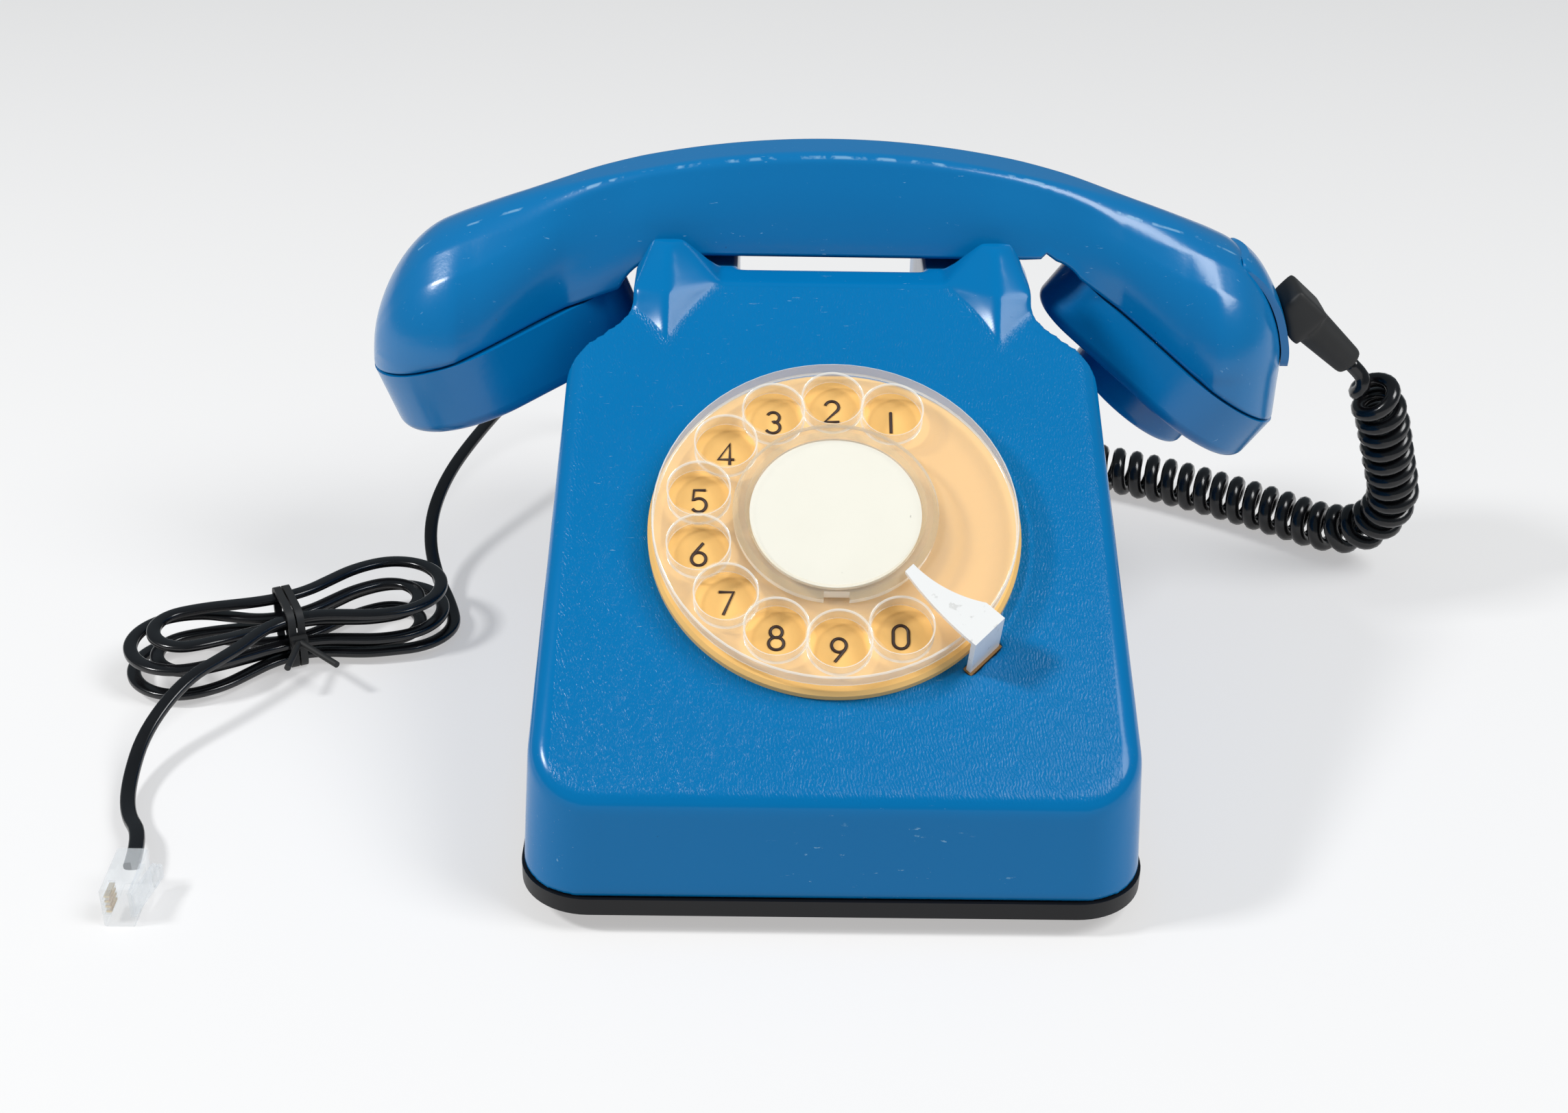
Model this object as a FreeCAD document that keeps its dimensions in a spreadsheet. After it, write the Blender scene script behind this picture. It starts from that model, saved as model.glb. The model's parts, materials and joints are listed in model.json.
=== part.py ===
import FreeCAD, Part
import math
import os

import Sketcher

V = FreeCAD.Vector

# Driving dimensions in millimetres and degrees. Heights count up from the table,
# and lengths along Y count back from the front edge of the base.
SIZES = {
    "base_width": 131.5,
    "base_depth": 188.0,
    "base_corner": 15.0,
    "foot_height": 5.0,
    "foot_radius": 6.5,
    "foot_inset_x": 14.0,
    "foot_inset_y": 12.0,
    "rim_height": 4.0,
    "floor_thick": 2.5,
    "lip_height": 4.0,
    "lip_thick": 2.0,
    "standoff_height": 3.5,
    "casing_wall": 2.5,
    "casing_step": 0.5,
    "casing_gap": 0.5,
    "side_draft": 3.6,
    "front_draft": 2.0,
    "rear_draft": 5.0,
    "front_height": 33.0,
    "saddle_top": 98.876,
    "edge_round": 5.0,
    "handset_inset": 47.5,
    "saddle_lead": 25.4,
    "saddle_thick": 8.6,
    "shoulder_lead": 44.5,
    "neck_lead": 34.5,
    "neck_step": 5.0,
    "tower_clear": 7.4,
    "deck_height": 58.0,
    "tower_inset": 15.0,
    "ridge_width": 21.0,
    "trough_floor": 68.0,
    "cradle_height": 97.2,
    "horn_height": 106.8,
    "horn_inset": 5.0,
    "horn_reach": 16.5,
    "horn_fall": 19.0,
    "rear_horn_reach": 9.0,
    "screw_radius": 2.0,
    "screw_head_radius": 3.6,
    "boss_radius": 4.5,
    "boss_inset_x": 11.75,
    "boss_place_y": 30.0,
    "dial_along": 64.0,
    "dial_opening": 34.0,
    "plate_radius": 41.2,
    "plate_thick": 2.4,
    "wheel_radius": 39.4,
    "wheel_thick": 4.0,
    "wheel_gap": 1.6,
    "finger_circle": 30.0,
    "finger_hole": 6.5,
    "finger_first": 65.0,
    "finger_step": 25.79,
    "card_radius": 18.4,
    "card_thick": 0.5,
    "cap_radius": 22.0,
    "cap_height": 2.6,
    "stop_angle": -44.0,
    "stop_width": 9.0,
    "stop_thick": 1.0,
    "stop_reach": 43.0,
    "stop_tip": 21.5,
    "chassis_radius": 38.0,
    "chassis_thick": 1.5,
    "spindle_radius": 3.0,
    "shaft_gap": 0.05,
    "bush_wall": 3.0,
    "bush_length": 20.0,
    "gear_module": 0.7,
    "main_teeth": 60.0,
    "pinion_teeth": 15.0,
    "fine_module": 0.5,
    "second_teeth": 42.0,
    "governor_teeth": 12.0,
    "gear_thick": 2.0,
    "mesh_gap": 0.15,
    "arbor_radius": 1.5,
    "bridge_depth": 31.5,
    "bridge_thick": 1.5,
    "post_radius": 2.2,
    "governor_angle": 250.0,
    "cup_radius": 9.5,
    "cup_height": 8.0,
    "drum_radius": 13.0,
    "drum_height": 9.0,
    "handset_half": 112.5,
    "handset_top": 123.5,
    "handset_crown": 210.0,
    "handle_under": 100.0,
    "handle_half": 13.5,
    "handle_top_half": 6.5,
    "end_half": 25.0,
    "end_small": 13.5,
    "end_spread": 28.0,
    "end_drop": 25.0,
    "ear_tilt": 21.0,
    "mouth_tilt": 36.0,
    "ear_seam": 67.3,
    "mouth_seam": 56.5,
    "ear_depth": 17.0,
    "mouth_depth": 13.0,
    "mouth_ring": 7.0,
    "mouth_ring_radius": 17.0,
    "ear_arch": 14.0,
    "ear_arch_reach": 1.1,
    "mouth_arch": 12.0,
    "mouth_arch_reach": 3.3,
    "cap_wall": 2.5,
    "seam_gap": 0.3,
    "capsule_radius": 19.5,
    "capsule_thick": 9.0,
    "sound_hole": 1.6,
    "plunger_inset": 13.5,
    "plunger_side": 7.0,
    "plunger_gap": 0.3,
    "plunger_length": 39.4,
    "lever_reach": 25.5,
    "lever_thick": 3.0,
    "lever_pin": 1.5,
    "gong_radius": 22.0,
    "gong_height": 13.0,
    "gong_wall": 1.2,
    "gong_rise": 25.0,
    "gong_offset": 6.5,
    "clapper_radius": 3.0,
    "clapper_gap": 2.2,
    "pivot_lead": 17.5,
    "coil_radius": 8.0,
    "coil_length": 24.0,
    "coil_place": 11.0,
    "board_length": 74.0,
    "board_width": 26.0,
    "board_thick": 1.6,
    "board_back": 25.0,
    "gland_place": 32.0,
    "gland_height": 19.5,
    "gland_radius": 5.0,
    "gland_length": 15.0,
    "gland_flange": 6.2,
    "curl_wire": 3.8,
    "curl_radius": 4.9,
    "curl_pitch": 5.2,
    "line_wire": 3.0,
    "hank_layer": 3.5,
    "hank_outer_end": 39.0,
    "hank_inner_end": 33.0,
    "hank_outer_half": 13.0,
    "hank_inner_half": 8.5,
    "hank_outer_waist": 5.4,
    "hank_inner_waist": 1.8,
    "hank_turn": 25.0,
    "tie_thick": 1.2,
    "tie_width": 4.0,
    "plug_width": 9.65,
    "plug_height": 6.6,
    "plug_length": 14.0,
    "relief_length": 24.0,
    "relief_radius": 4.9,
    "relief_tip": 3.8,
    "relief_drop": 41.6,
    "collar_thick": 2.0,
    "collar_width": 19.0,
    "collar_height": 28.0,
}

# Places and angles that follow from the sizes above.
FOLLOWING = {
    "handset_back": "base_depth - handset_inset",
    "saddle_back": "handset_back - saddle_lead",
    "shoulder_back": "handset_back - shoulder_lead",
    "neck_back": "handset_back - neck_lead",
    "tower_rear": "base_depth - tower_inset",
    "lever_back": "handset_back + lever_reach",
    "gong_back": "handset_back + gong_offset",
    "pivot_back": "handset_back - pivot_lead",
    "slope_angle": "atan((saddle_top - front_height) / (saddle_back - 1))",
    "ear_inner": "handset_half - (end_half + end_spread + end_small) * cos(ear_tilt)",
    "mouth_inner": "handset_half - (end_half + end_spread + end_small) * cos(mouth_tilt)",
    "tower_half": "ear_inner - tower_clear",
    "neck_half": "tower_half + neck_step",
    "horn_place": "tower_half - horn_inset",
    "trough_half": "tower_half - ridge_width",
    "plunger_place": "tower_half - plunger_inset",
    "boss_place_x": "base_width / 2 - boss_inset_x",
}

doc = FreeCAD.newDocument("rotary_telephone")
sheet = doc.addObject("Spreadsheet::Sheet", "sizes")
CELLS = {alias: str(number) for alias, number in SIZES.items()}
CELLS.update({alias: "=" + words for alias, words in FOLLOWING.items()})
for row, (alias, content) in enumerate(CELLS.items(), start=1):
    sheet.set(f"A{row}", alias)
    sheet.set(f"B{row}", content)
    sheet.setAlias(f"B{row}", alias)
worked = doc.addObject("Spreadsheet::Sheet", "worked")
doc.recompute()

NODES = []


def size(alias):
    """One driving dimension, read back from the sheet."""
    return float(sheet.get(alias))


def bound(words):
    """An expression in which each driving dimension points at its cell."""
    out = []
    word = ""
    for letter in words + " ":
        if letter.isalnum() or letter == "_":
            word += letter
            continue
        out.append("sizes." + word if word in CELLS else word)
        out.append(letter)
        word = ""
    return "".join(out).strip()


def bind(thing, **words):
    for prop, text in words.items():
        thing.setExpression(prop, bound(text))
    return thing


def place(thing, x="0", y="0", z="0"):
    for axis, text in zip("xyz", (x, y, z)):
        if text != "0":
            thing.setExpression(f"Placement.Base.{axis}", bound(text))
    return thing


def front(text):
    """A distance back from the base's front edge, as a Y place."""
    return f"{text} - base_depth / 2"


def box(name, length, width, height, x="0", y="0", z="0"):
    """A block centred on x and y that stands on z."""
    thing = doc.addObject("Part::Box", name)
    bind(thing, Length=length, Width=width, Height=height)
    return place(thing, f"{x} - ({length}) / 2", f"{y} - ({width}) / 2", z)


def rod(name, radius, height, x="0", y="0", z="0", along="z"):
    """A round bar that starts at x, y, z and runs up, back or right."""
    thing = doc.addObject("Part::Cylinder", name)
    bind(thing, Radius=radius, Height=height)
    turns = {"z": (V(0, 0, 1), 0), "y": (V(1, 0, 0), -90), "x": (V(0, 1, 0), 90)}
    axis, angle = turns[along]
    thing.Placement = FreeCAD.Placement(V(0, 0, 0), FreeCAD.Rotation(axis, angle))
    return place(thing, x, y, z)


def join(name, *things):
    thing = doc.addObject("Part::MultiFuse", name)
    thing.Shapes = list(things)
    return thing


def carve(name, base, *tools):
    tool = tools[0] if len(tools) == 1 else join(name + "_tools", *tools)
    thing = doc.addObject("Part::Cut", name)
    thing.Base = base
    thing.Tool = tool
    return thing


def group(name, *things):
    thing = doc.addObject("Part::Compound", name)
    thing.Links = list(things)
    return thing


def shaped(name, shape):
    thing = doc.addObject("Part::Feature", name)
    thing.Shape = shape if shape.Placement.isIdentity() else Part.makeCompound([shape])
    return thing


def node(label, thing):
    """Name a finished sub-part: its label is its file's name."""
    thing.Label = label
    NODES.append(thing)
    return thing


def in_dial(thing):
    """Tilt a piece that was built about the dial's axis onto the sloping face."""
    slope = "front_height + dial_along * sin(slope_angle)"
    thing.Placement = FreeCAD.Placement(V(0, 0, 0), FreeCAD.Rotation(V(1, 0, 0), size("slope_angle")))
    thing.setExpression("Placement.Rotation.Angle", bound("slope_angle"))
    return place(thing, "0", front("1 + dial_along * cos(slope_angle)"), slope)


def origin_plane(body, role):
    return next(part for part in body.Origin.OriginFeatures if part.Role == role)


def outline(body, name, plane, corners):
    """A closed sketch of straight lines whose corners are bound to the sheet."""
    sketch = body.newObject("Sketcher::SketchObject", name)
    sketch.AttachmentSupport = [(origin_plane(body, plane), "")]
    sketch.MapMode = "FlatFace"
    points = [V(value(across), value(up), 0) for across, up in corners]
    count = len(points)
    for i in range(count):
        sketch.addGeometry(Part.LineSegment(points[i], points[(i + 1) % count]), False)
    for i in range(count):
        sketch.addConstraint(Sketcher.Constraint("Coincident", i, 2, (i + 1) % count, 1))
    for i, (across, up) in enumerate(corners):
        pin(sketch, "DistanceX", i, across, points[i].x)
        pin(sketch, "DistanceY", i, up, points[i].y)
    return sketch


def pin(sketch, kind, index, words, number):
    """Hold one corner at its place, on an axis or at a bound distance from it."""
    if abs(number) < 1e-9:
        axis = -2 if kind == "DistanceX" else -1
        sketch.addConstraint(Sketcher.Constraint("PointOnObject", index, 1, axis))
        return
    ends = (-1, 1, index, 1) if number > 0 else (index, 1, -1, 1)
    at = sketch.addConstraint(Sketcher.Constraint(kind, *ends, abs(number)))
    sketch.setExpression(f"Constraints[{at}]", bound(words if number > 0 else f"-({words})"))


def value(words):
    """The number that an expression of driving dimensions gives."""
    worked.set("A1", "=" + bound(words))
    worked.recompute()
    return float(worked.get("A1"))


def lathe(name, corners):
    """A turned piece: a half profile of radius and height, revolved about Z."""
    body = doc.addObject("PartDesign::Body", name)
    sketch = outline(body, name + "_profile", "XZ_Plane", corners)
    turn = body.newObject("PartDesign::Revolution", name + "_turned")
    turn.Profile = sketch
    turn.ReferenceAxis = (sketch, ["V_Axis"])
    turn.Angle = 360.0
    sketch.Visibility = False
    return body


# Rounded outlines and cord paths

def tangent_arc(before, corner, after, reach):
    """The arc that rounds a corner, starting and ending a set length from it."""
    into = (corner - before).normalize()
    away = (after - corner).normalize()
    start = corner - into * reach
    end = corner + away * reach
    turn = into.getAngle(away)
    middle = (start + end) * 0.5
    sink = math.tan(turn / 4) / math.tan(turn / 2)
    return start, middle + (corner - middle) * sink, end


def rounded_wire(points, reaches):
    """A closed wire through the points, each corner rounded by its own reach."""
    count = len(points)
    arcs = []
    for i in range(count):
        arcs.append(tangent_arc(points[i - 1], points[i], points[(i + 1) % count], reaches[i]))
    edges = []
    for i in range(count):
        start, middle, end = arcs[i]
        edges.append(Part.Arc(start, middle, end).toShape())
        edges.append(Part.LineSegment(end, arcs[(i + 1) % count][0]).toShape())
    return Part.Wire(edges)


def corner_reach(before, corner, after, radius):
    """How far from a corner an arc of the given radius starts."""
    turn = (corner - before).getAngle(after - corner)
    return radius * math.tan(turn / 2)


def round_by_radius(points, radii):
    count = len(points)
    reaches = []
    for i in range(count):
        reaches.append(corner_reach(points[i - 1], points[i], points[(i + 1) % count], radii[i]))
    return rounded_wire(points, reaches)


def prism(wire, direction):
    return Part.Face(wire).extrude(direction)


def free_path(points, name):
    """Straight runs joined by arcs as large as the runs allow."""
    share = 0.45
    edges = []
    at = points[0]
    radii = []
    for i in range(1, len(points) - 1):
        before, corner, after = points[i - 1], points[i], points[i + 1]
        reach = share * min((corner - before).Length, (after - corner).Length)
        start, middle, end = tangent_arc(before, corner, after, reach)
        turn = (corner - before).getAngle(after - corner)
        radii.append(round(reach / math.tan(turn / 2), 1))
        edges.append(Part.LineSegment(at, start).toShape())
        edges.append(Part.Arc(start, middle, end).toShape())
        at = end
    edges.append(Part.LineSegment(at, points[-1]).toShape())
    print(name, "bend radii", radii)
    return Part.Wire(edges)


def biarc(start, leave, end, arrive):
    """Two arcs that join two points and keep the direction at both."""
    chord = end - start
    both = leave + arrive
    spread = 2 * (1 - leave.dot(arrive))
    along = chord.dot(both)
    if spread < 1e-9:
        reach = chord.dot(chord) / (2 * along)
    else:
        reach = (-along + math.sqrt(along * along + spread * chord.dot(chord))) / spread
    first = start + leave * reach
    second = end - arrive * reach
    joint = (first + second) * 0.5
    return [arc_edge(start, first, joint), arc_edge(joint, second, end)]


def arc_edge(start, corner, end):
    into = corner - start
    away = end - corner
    turn = into.getAngle(away)
    if turn < 1e-4:
        return Part.LineSegment(start, end).toShape()
    middle = (start + end) * 0.5
    sink = math.tan(turn / 4) / math.tan(turn / 2)
    return Part.Arc(start, middle + (corner - middle) * sink, end).toShape()


def biarc_path(stations):
    """A smooth wire through stations, each a point and a direction."""
    edges = []
    for (start, leave), (end, arrive) in zip(stations, stations[1:]):
        edges.extend(biarc(start, leave, end, arrive))
    return Part.Wire(edges)


def tube(path, radius, name):
    """A round cord along a path, with its volume set against its length."""
    first = path.OrderedEdges[0]
    start = first.valueAt(first.FirstParameter)
    ahead = first.tangentAt(first.FirstParameter)
    if (start - path.OrderedVertexes[0].Point).Length > 1e-6:
        start = first.valueAt(first.LastParameter)
        ahead = first.tangentAt(first.LastParameter) * -1
    ring = Part.Wire([Part.makeCircle(radius, start, ahead)])
    solid = path.makePipeShell([ring], True, False)
    ideal = math.pi * radius * radius * path.Length
    print(name, "length", round(path.Length, 1), "volume ratio", round(solid.Volume / ideal, 4))
    return solid


def least_gap(path, wire, name, step=1.5):
    """Print the least distance of a cord's skin from itself, on points."""
    points = path.discretize(Distance=step)
    apart = int(wire * 2.5 / step) + 1
    least = 1e9
    for i, here in enumerate(points):
        for there in points[i + apart:]:
            least = min(least, here.distanceToPoint(there))
    print(name, "least gap to itself", round(least - wire, 2))


def bent_least(path, name):
    radii = [edge.Curve.Radius for edge in path.Edges if hasattr(edge.Curve, "Radius")]
    print(name, "tightest arc", round(min(radii), 2))


BASE_TOP = "foot_height + rim_height"
FLOOR = "foot_height + floor_thick"
HALF_DEPTH = size("base_depth") / 2


def world(x, back, up):
    """A point given by its distance back from the front edge."""
    return V(x, back - HALF_DEPTH, up)


# The base plate, its feet and its screws

def rounded_block(name, length, width, height, corner, z):
    """A block with rounded upright corners, centred on the origin."""
    block = box(name + "_block", length, width, height, "0", "0", z)
    doc.recompute()
    rounded = doc.addObject("Part::Fillet", name)
    rounded.Base = block
    radius = value(corner)
    upright = []
    for number, edge in enumerate(block.Shape.Edges, start=1):
        if abs(edge.tangentAt(edge.FirstParameter).z) > 0.9:
            upright.append((number, radius, radius))
    rounded.Edges = upright
    return rounded


def make_base():
    inset = "casing_step + casing_wall + casing_gap"
    tray = rounded_block("tray", "base_width", "base_depth", "rim_height", "base_corner", "foot_height")
    lip = rounded_block("lip", f"base_width - 2 * ({inset})", f"base_depth - 2 * ({inset})",
                        "rim_height + lip_height", f"base_corner - ({inset})", "foot_height")
    hollow = rounded_block("tray_hollow", f"base_width - 2 * ({inset} + lip_thick)",
                           f"base_depth - 2 * ({inset} + lip_thick)", "rim_height + lip_height",
                           f"base_corner - ({inset} + lip_thick)", FLOOR)
    pan = carve("pan", join("tray_and_lip", tray, lip), hollow)
    posts = []
    for i, x in enumerate((-1, 1)):
        for j, y in enumerate((-1, 1)):
            posts.append(rod(f"standoff_{i}{j}", "screw_radius + 1.5", "standoff_height",
                             f"{x} * (board_length / 2 - 4)",
                             front(f"board_back + {y} * (board_width / 2 - 4)"), FLOOR))
    holes = []
    for i, x in enumerate((-1, 1)):
        for j, y in enumerate((-1, 1)):
            holes.append(rod(f"screw_way_{i}{j}", "screw_radius + casing_gap", "rim_height * 2",
                             f"{x} * boss_place_x", f"{y} * (base_depth / 2 - boss_place_y)",
                             "foot_height - 1"))
            holes.append(rod(f"foot_way_{i}{j}", "screw_radius", "rim_height * 2",
                             f"{x} * (base_width / 2 - foot_inset_x)",
                             f"{y} * (base_depth / 2 - foot_inset_y)", "foot_height - 1"))
    node("base_plate", carve("plate", join("pan_and_posts", pan, *posts), *holes))

    feet = []
    screws = []
    for i, x in enumerate((-1, 1)):
        for j, y in enumerate((-1, 1)):
            foot = lathe(f"foot_{i}{j}", [
                ("0", "0"), ("foot_radius - 1", "0"), ("foot_radius", "1"),
                ("foot_radius", "foot_height"), ("screw_radius - 0.05", "foot_height"),
                ("screw_radius - 0.05", "foot_height + floor_thick"), ("0", "foot_height + floor_thick"),
            ])
            feet.append(place(foot, f"{x} * (base_width / 2 - foot_inset_x)",
                              f"{y} * (base_depth / 2 - foot_inset_y)"))
            screw = lathe(f"screw_{i}{j}", [
                ("0", "foot_height - 2"), ("screw_head_radius", "foot_height - 2"),
                ("screw_head_radius", "foot_height"), ("screw_radius", "foot_height"),
                ("screw_radius", f"{BASE_TOP} + lip_height + 8"), ("0", f"{BASE_TOP} + lip_height + 8"),
            ])
            screws.append(place(screw, f"{x} * boss_place_x", f"{y} * (base_depth / 2 - boss_place_y)"))
    node("rubber_feet", group("feet", *feet))
    node("casing_screws", group("screws", *screws))


# The moulded casing

def slope_height(back, inset=0.0):
    """Height of the sloping face, or of its inner side, at a distance back."""
    tilt = math.radians(size("slope_angle"))
    return size("front_height") + (back - 1) * math.tan(tilt) - inset / math.cos(tilt)


def drafted_block(inset, low, high):
    """The four leaning walls, from the base up past the horns."""
    step = size("casing_step") + inset
    rise = high - low
    half = size("base_width") / 2 - step
    corner = max(size("base_corner") - step, 1.0)
    lean = {name: rise * math.tan(math.radians(size(name)))
            for name in ("side_draft", "front_draft", "rear_draft")}
    low_ring = [(-half, step), (half, step), (half, 2 * HALF_DEPTH - step), (-half, 2 * HALF_DEPTH - step)]
    top_half = half - lean["side_draft"]
    top_front = step + lean["front_draft"]
    top_rear = 2 * HALF_DEPTH - step - lean["rear_draft"]
    top_ring = [(-top_half, top_front), (top_half, top_front), (top_half, top_rear), (-top_half, top_rear)]
    wires = []
    for ring, up in ((low_ring, low), (top_ring, high)):
        wires.append(round_by_radius([world(x, back, up) for x, back in ring], [corner] * 4))
    return Part.makeLoft(wires, True, True)


def side_profile(inset, low):
    """The wedge seen from the side, right across the casing."""
    saddle = size("saddle_back")
    top = slope_height(saddle, inset)
    rear = size("tower_rear") - inset
    deck = size("deck_height") - inset
    far = 2 * HALF_DEPTH + 20
    corners = [(-20, low), (-20, slope_height(-20, inset)), (saddle, top), (rear, top),
               (rear, deck), (far, deck), (far, low)]
    wide = size("base_width")
    points = [world(-wide, back, up) for back, up in corners]
    return Part.Face(Part.makePolygon(points + points[:1])).extrude(V(2 * wide, 0, 0))


def side_pocket(side, inset):
    """The room beside the tower where an end of the handset hangs."""
    wide = size("base_width")
    far = 2 * HALF_DEPTH + 20
    shoulder = size("shoulder_back") - inset
    neck = size("neck_half") - inset
    tower = size("tower_half") - inset
    back = size("neck_back")
    corners = [(wide, shoulder - 6), (neck + 13, shoulder), (neck, back), (tower, back + 9), (tower, far),
               (wide, far)]
    rounds = [1, 6, 6, 4, 1, 1]
    points = [world(side * x, y, size("deck_height") - inset) for x, y in corners]
    return prism(round_by_radius(points, rounds), V(0, 0, 80))


def trough(inset):
    """The carrying hollow between the two ridges, open at the rear."""
    half = size("trough_half") + inset
    floor = size("trough_floor") - inset
    start = size("saddle_back") + size("saddle_thick") - inset
    corners = [(-half, floor + 90), (-half, floor), (half, floor), (half, floor + 90)]
    points = [world(x, start, up) for x, up in corners]
    return prism(round_by_radius(points, [1, 7, 7, 1]), V(0, 2 * HALF_DEPTH, 0))


def cradle_notch(inset):
    """The seat between the front and rear horns, right across both ridges."""
    half = size("handle_half") + 2.0 + inset
    middle = size("handset_back")
    floor = size("cradle_height") - inset
    wide = size("base_width")
    corners = [(-half - 2.5, floor + 60), (-half, floor), (half, floor), (half + 2.5, floor + 60)]
    points = [world(-wide, middle + back, up) for back, up in corners]
    return prism(round_by_radius(points, [1, 4, 4, 1]), V(2 * wide, 0, 0))


def horn(side, facing):
    """A horn with a pointed prow; facing is 1 for the front pair, -1 for the rear."""
    middle = size("handset_back")
    seat = size("handle_half") + 2.2
    top = size("horn_height")
    neck = top - 8.0
    x = size("horn_place")
    out = size("tower_half") + 3
    inner = size("trough_half") + 4
    fall = size("horn_fall")
    reach = size("horn_reach") if facing > 0 else size("rear_horn_reach")
    spread = fall if facing > 0 else 0.0
    rings = [
        (neck - fall, reach + spread, out, inner, 0.77, 0.6, 0.0),
        (neck, reach, out, inner, 0.85, 0.6, 0.4),
        (top, 0.3 * reach, x + 4.0, x - 3.4, 0.3, 0.3, 1.8),
    ]
    wires = []
    for up, tip, far_out, far_in, share_out, share_in, lean in rings:
        near = seat + lean
        corners = [(x, near + tip), (far_out, near + tip * share_out), (far_out, near), (far_in, near),
                   (far_in, near + tip * share_in)]
        points = [world(side * across, middle - facing * back, up) for across, back in corners]
        wires.append(Part.makePolygon(points + points[:1]))
    return Part.makeLoft(wires, True, True)


def casing_form(inset, low):
    high = size("horn_height") + 4
    form = drafted_block(inset, low, high).common(side_profile(inset, low))
    for side in (-1, 1):
        form = form.cut(side_pocket(side, inset))
    form = form.cut(trough(inset)).cut(cradle_notch(inset))
    return form


def long_edges_of_slope(shape):
    """The edges that bound the sloping face at its front and sides."""
    tilt = math.radians(size("slope_angle"))
    normal = V(0, -math.sin(tilt), math.cos(tilt))
    shoulder = size("shoulder_back") - HALF_DEPTH - 8
    found = []
    for face in shape.Faces:
        if face.Surface.TypeId != "Part::GeomPlane":
            continue
        if (face.normalAt(0, 0) - normal).Length > 1e-4:
            continue
        found += [edge for edge in face.Edges if edge.CenterOfMass.y < shoulder]
    return found


def make_casing():
    low = value(BASE_TOP)
    wall = size("casing_wall")
    form = casing_form(0.0, low)
    form = form.makeFillet(size("edge_round"), long_edges_of_slope(form))
    for side in (-1, 1):
        for facing in (1, -1):
            form = form.fuse(horn(side, facing))
    form = form.removeSplitter()
    shell = form.cut(casing_form(wall, low - 1))

    tilt = FreeCAD.Rotation(V(1, 0, 0), size("slope_angle"))
    along = size("dial_along")
    radians = math.radians(size("slope_angle"))
    centre = world(0, 1 + along * math.cos(radians), size("front_height") + along * math.sin(radians))
    dial = FreeCAD.Placement(centre, tilt)
    opening = Part.makeCylinder(size("dial_opening"), 30, V(0, 0, -15))
    slot_wide = size("stop_width") + 1
    slot_long = 2.4
    slot_from = size("stop_reach") - slot_long / 2
    slot = Part.makeBox(slot_long, slot_wide, 30, V(slot_from, -slot_wide / 2, -15))
    slot.rotate(V(0, 0, 0), V(0, 0, 1), size("stop_angle"))
    for tool in (opening, slot):
        tool.Placement = dial.multiply(tool.Placement)
        shell = shell.cut(tool)

    way = size("plunger_side") + 2 * size("plunger_gap")
    for side in (-1, 1):
        across = side * size("plunger_place")
        corner = world(across - way / 2, size("handset_back") - way / 2, size("deck_height"))
        shell = shell.cut(Part.makeBox(way, way, 60, corner))
        gland = world(side * size("gland_place"), 2 * HALF_DEPTH - 20, size("gland_height"))
        shell = shell.cut(Part.makeCylinder(size("gland_radius") + 0.1, 40, gland, V(0, 1, 0)))

    bosses = []
    for x in (-1, 1):
        for y in (-1, 1):
            back = y * (HALF_DEPTH - size("boss_place_y"))
            foot = V(x * size("boss_place_x"), back, low + size("lip_height") + 1)
            boss = Part.makeCylinder(size("boss_radius"), 80, foot)
            pilot = Part.makeCylinder(size("screw_radius"), 9, foot)
            bosses.append(boss.common(casing_form(wall - 0.5, low)).cut(pilot))
    shell = shell.fuse(bosses).removeSplitter()
    node("casing", shaped("casing_shell", shell))


# The dial: plate, wheel, centre and finger stop

WHEEL_LOW = "plate_thick + wheel_gap"
WHEEL_TOP = "plate_thick + wheel_gap + wheel_thick"


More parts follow.
